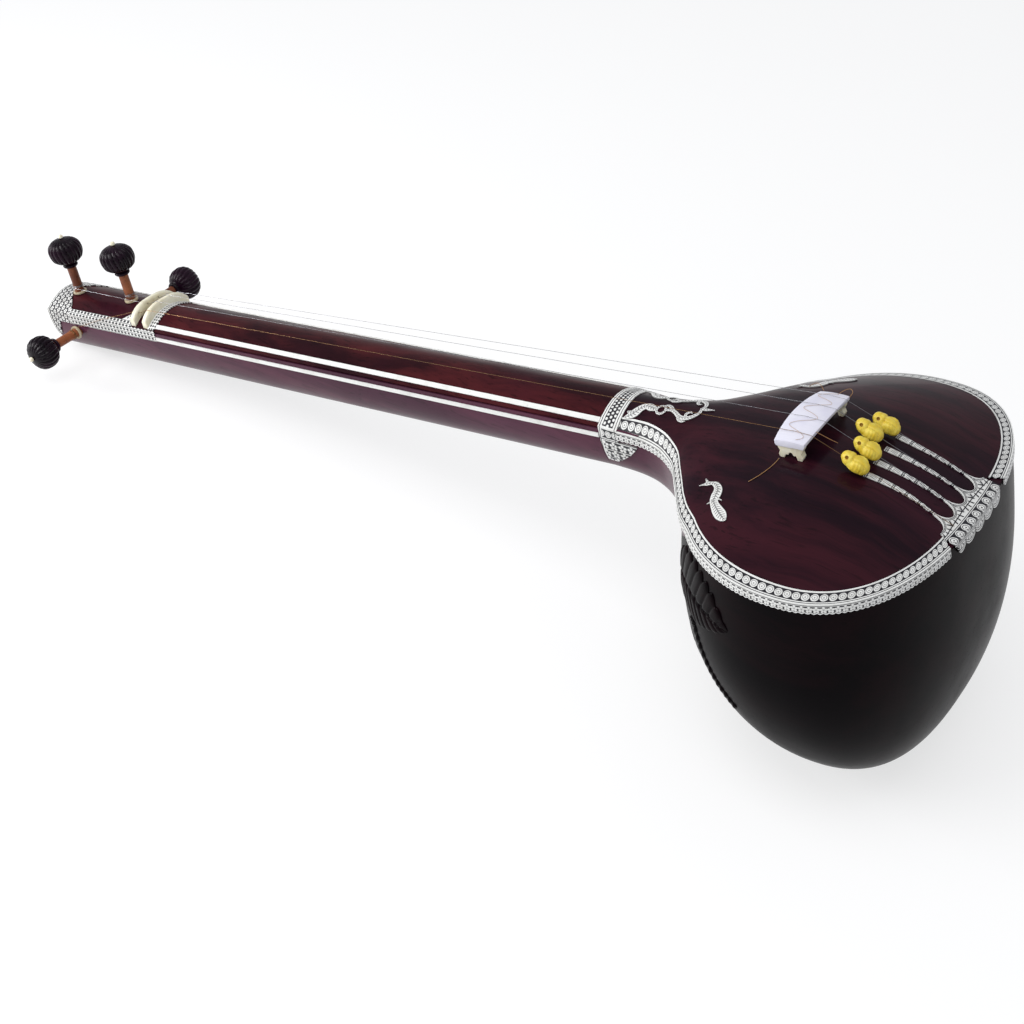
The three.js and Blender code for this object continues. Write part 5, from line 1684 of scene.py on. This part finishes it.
def make_swan():
    """A resting swan: balls grown together, its grooves pressed in and its eyes bored"""
    bpy.ops.object.select_all(action="DESELECT")
    balls = []
    for spot, size, lean in SWAN_BALLS:
        bpy.ops.mesh.primitive_uv_sphere_add(
            segments=32, ring_count=16, radius=1, location=spot, scale=size, rotation=(0, lean, 0)
        )
        balls.append(bpy.context.object)
    swan = joined("swan", balls)
    bpy.ops.object.transform_apply(location=True, rotation=True, scale=True)
    apply(swan, "REMESH", mode="VOXEL", voxel_size=SWAN_DETAIL)
    apply(swan, "SMOOTH", factor=0.5, iterations=4)
    for vertex in swan.data.vertices:
        px, py, pz = vertex.co
        way = Vector((px * 0.2, py, pz)).normalized()
        vertex.co = vertex.co + way * swan_groove(px, py, pz)
    eyes = []
    for side in (-1, 1):
        spot = (EYE_X, side * EYE_Y, EYE_Z)
        lean = (-side * EYE_LEAN, 0, 0)
        bpy.ops.mesh.primitive_cylinder_add(
            vertices=24, radius=EYE_RADIUS, depth=EYE_DEPTH, location=spot, rotation=lean
        )
        eyes.append(bpy.context.object)
    for eye in eyes:
        apply(swan, "BOOLEAN", operation="DIFFERENCE", object=eye, solver="EXACT")
        bpy.data.objects.remove(eye)
    return swan


def string_line(y, radius):
    """Where a string leaves the tailpiece and where it meets the bridge's rear edge"""
    tail = Vector((STRING_TAIL_X, y, above_board(STRING_TAIL_X, y, TAIL_STAND + radius)))
    x = BRIDGE_X + bridge_half(y)
    return tail, Vector((x, y, bridge_z(x, y) + BRIDGE_STAND + radius))


swan = make_swan()
for number, (y, radius, share) in enumerate(STRINGS, 1):
    tail, rear = string_line(y, radius)
    threaded = rear.lerp(tail, share)
    head_way = (rear - tail).normalized()
    side_way = Vector((0, -1, 0))
    up_way = Vector((0, 1, 0)).cross(head_way)
    bead = add_object("swan_bead_%d" % number, swan.data.copy())
    for vertex in bead.data.vertices:
        px, py, pz = vertex.co
        reach = px * SWAN_LENGTH_SHARE - SWAN_SETBACK
        rise = pz * (SWAN_UPPER_SHARE if pz > 0 else SWAN_LOWER_SHARE) + SWAN_RISE
        sideways = side_way * py * SWAN_WIDTH_SHARE
        vertex.co = place(*(threaded + head_way * reach + sideways + up_way * rise))
    edit_all(bead, weld, face_out)
    body = "tuning_bead_%d" % number
    seat(bead, bead_yellow, "bead_%d" % number, body=body, angle=55)
bpy.data.objects.remove(swan)


# Floor, world and lamps
def pale_floor():
    """Near white to the camera and in reflections, where it glows a little, and matt to other light"""
    material = bpy.data.materials.new("pale floor")
    material.use_nodes = True
    tree = material.node_tree
    tree.nodes.clear()
    out = add_node(tree, "ShaderNodeOutputMaterial")
    matt = add_node(tree, "ShaderNodeBsdfDiffuse")
    soft = add_node(tree, "ShaderNodeBsdfDiffuse")
    white = add_node(tree, "ShaderNodeEmission")
    both = add_node(tree, "ShaderNodeAddShader")
    choice = add_node(tree, "ShaderNodeMixShader")
    rays = add_node(tree, "ShaderNodeLightPath").outputs
    labels = ("Is Camera Ray", "Is Glossy Ray", "Is Transmission Ray")
    set_inputs(matt, Color=(0.9, 0.9, 0.9, 1))
    set_inputs(soft, Color=(0.38, 0.38, 0.38, 1))
    set_inputs(white, Strength=0.66)
    feed(both.inputs[0], Value(soft.outputs[0]))
    feed(both.inputs[1], Value(white.outputs[0]))
    feed(choice.inputs[0], most(*(Value(rays[label]) for label in labels)))
    feed(choice.inputs[1], Value(matt.outputs[0]))
    feed(choice.inputs[2], Value(both.outputs[0]))
    feed(out.inputs["Surface"], Value(choice.outputs[0]))
    return material


bpy.ops.object.select_all(action="DESELECT")
bpy.ops.mesh.primitive_plane_add(size=24, location=(0, 0, -0.0005))
floor = bpy.context.object
floor.name = "floor"
floor.data.materials.append(pale_floor())

world = bpy.data.worlds.new("studio")
world.use_nodes = True
bpy.context.scene.world = world
set_inputs(world.node_tree.nodes["Background"], Color=(0.93, 0.95, 1.0, 1), Strength=0.52)


def softbox(name, spot, target, width, height, power):
    """A lamp of metres by metres and so many watts, aimed at a target"""
    lamp = bpy.data.lights.new(name, "AREA")
    lamp.shape = "RECTANGLE"
    lamp.size, lamp.size_y = width, height
    lamp.energy = power
    way = Vector(target) - Vector(spot)
    holder = add_object(name, lamp)
    holder.matrix_world = Matrix.Translation(spot) @ way.to_track_quat("-Z", "Y").to_matrix().to_4x4()


softbox("overhead softbox", (0.1, -1.0, 2.9), (0.2, 0, 0.2), 2.4, 1.4, 30)
softbox("key softbox", (-1.3, -2.2, 2.1), (0.2, 0, 0.2), 1.3, 1.3, 26)
softbox("tall left softbox", (-2.0, -0.9, 0.75), (0.4, 0, 0.2), 0.5, 1.1, 22)

bpy.context.scene.view_settings.view_transform = "Standard"
bpy.ops.object.select_all(action="DESELECT")

bpy.context.view_layer.update()
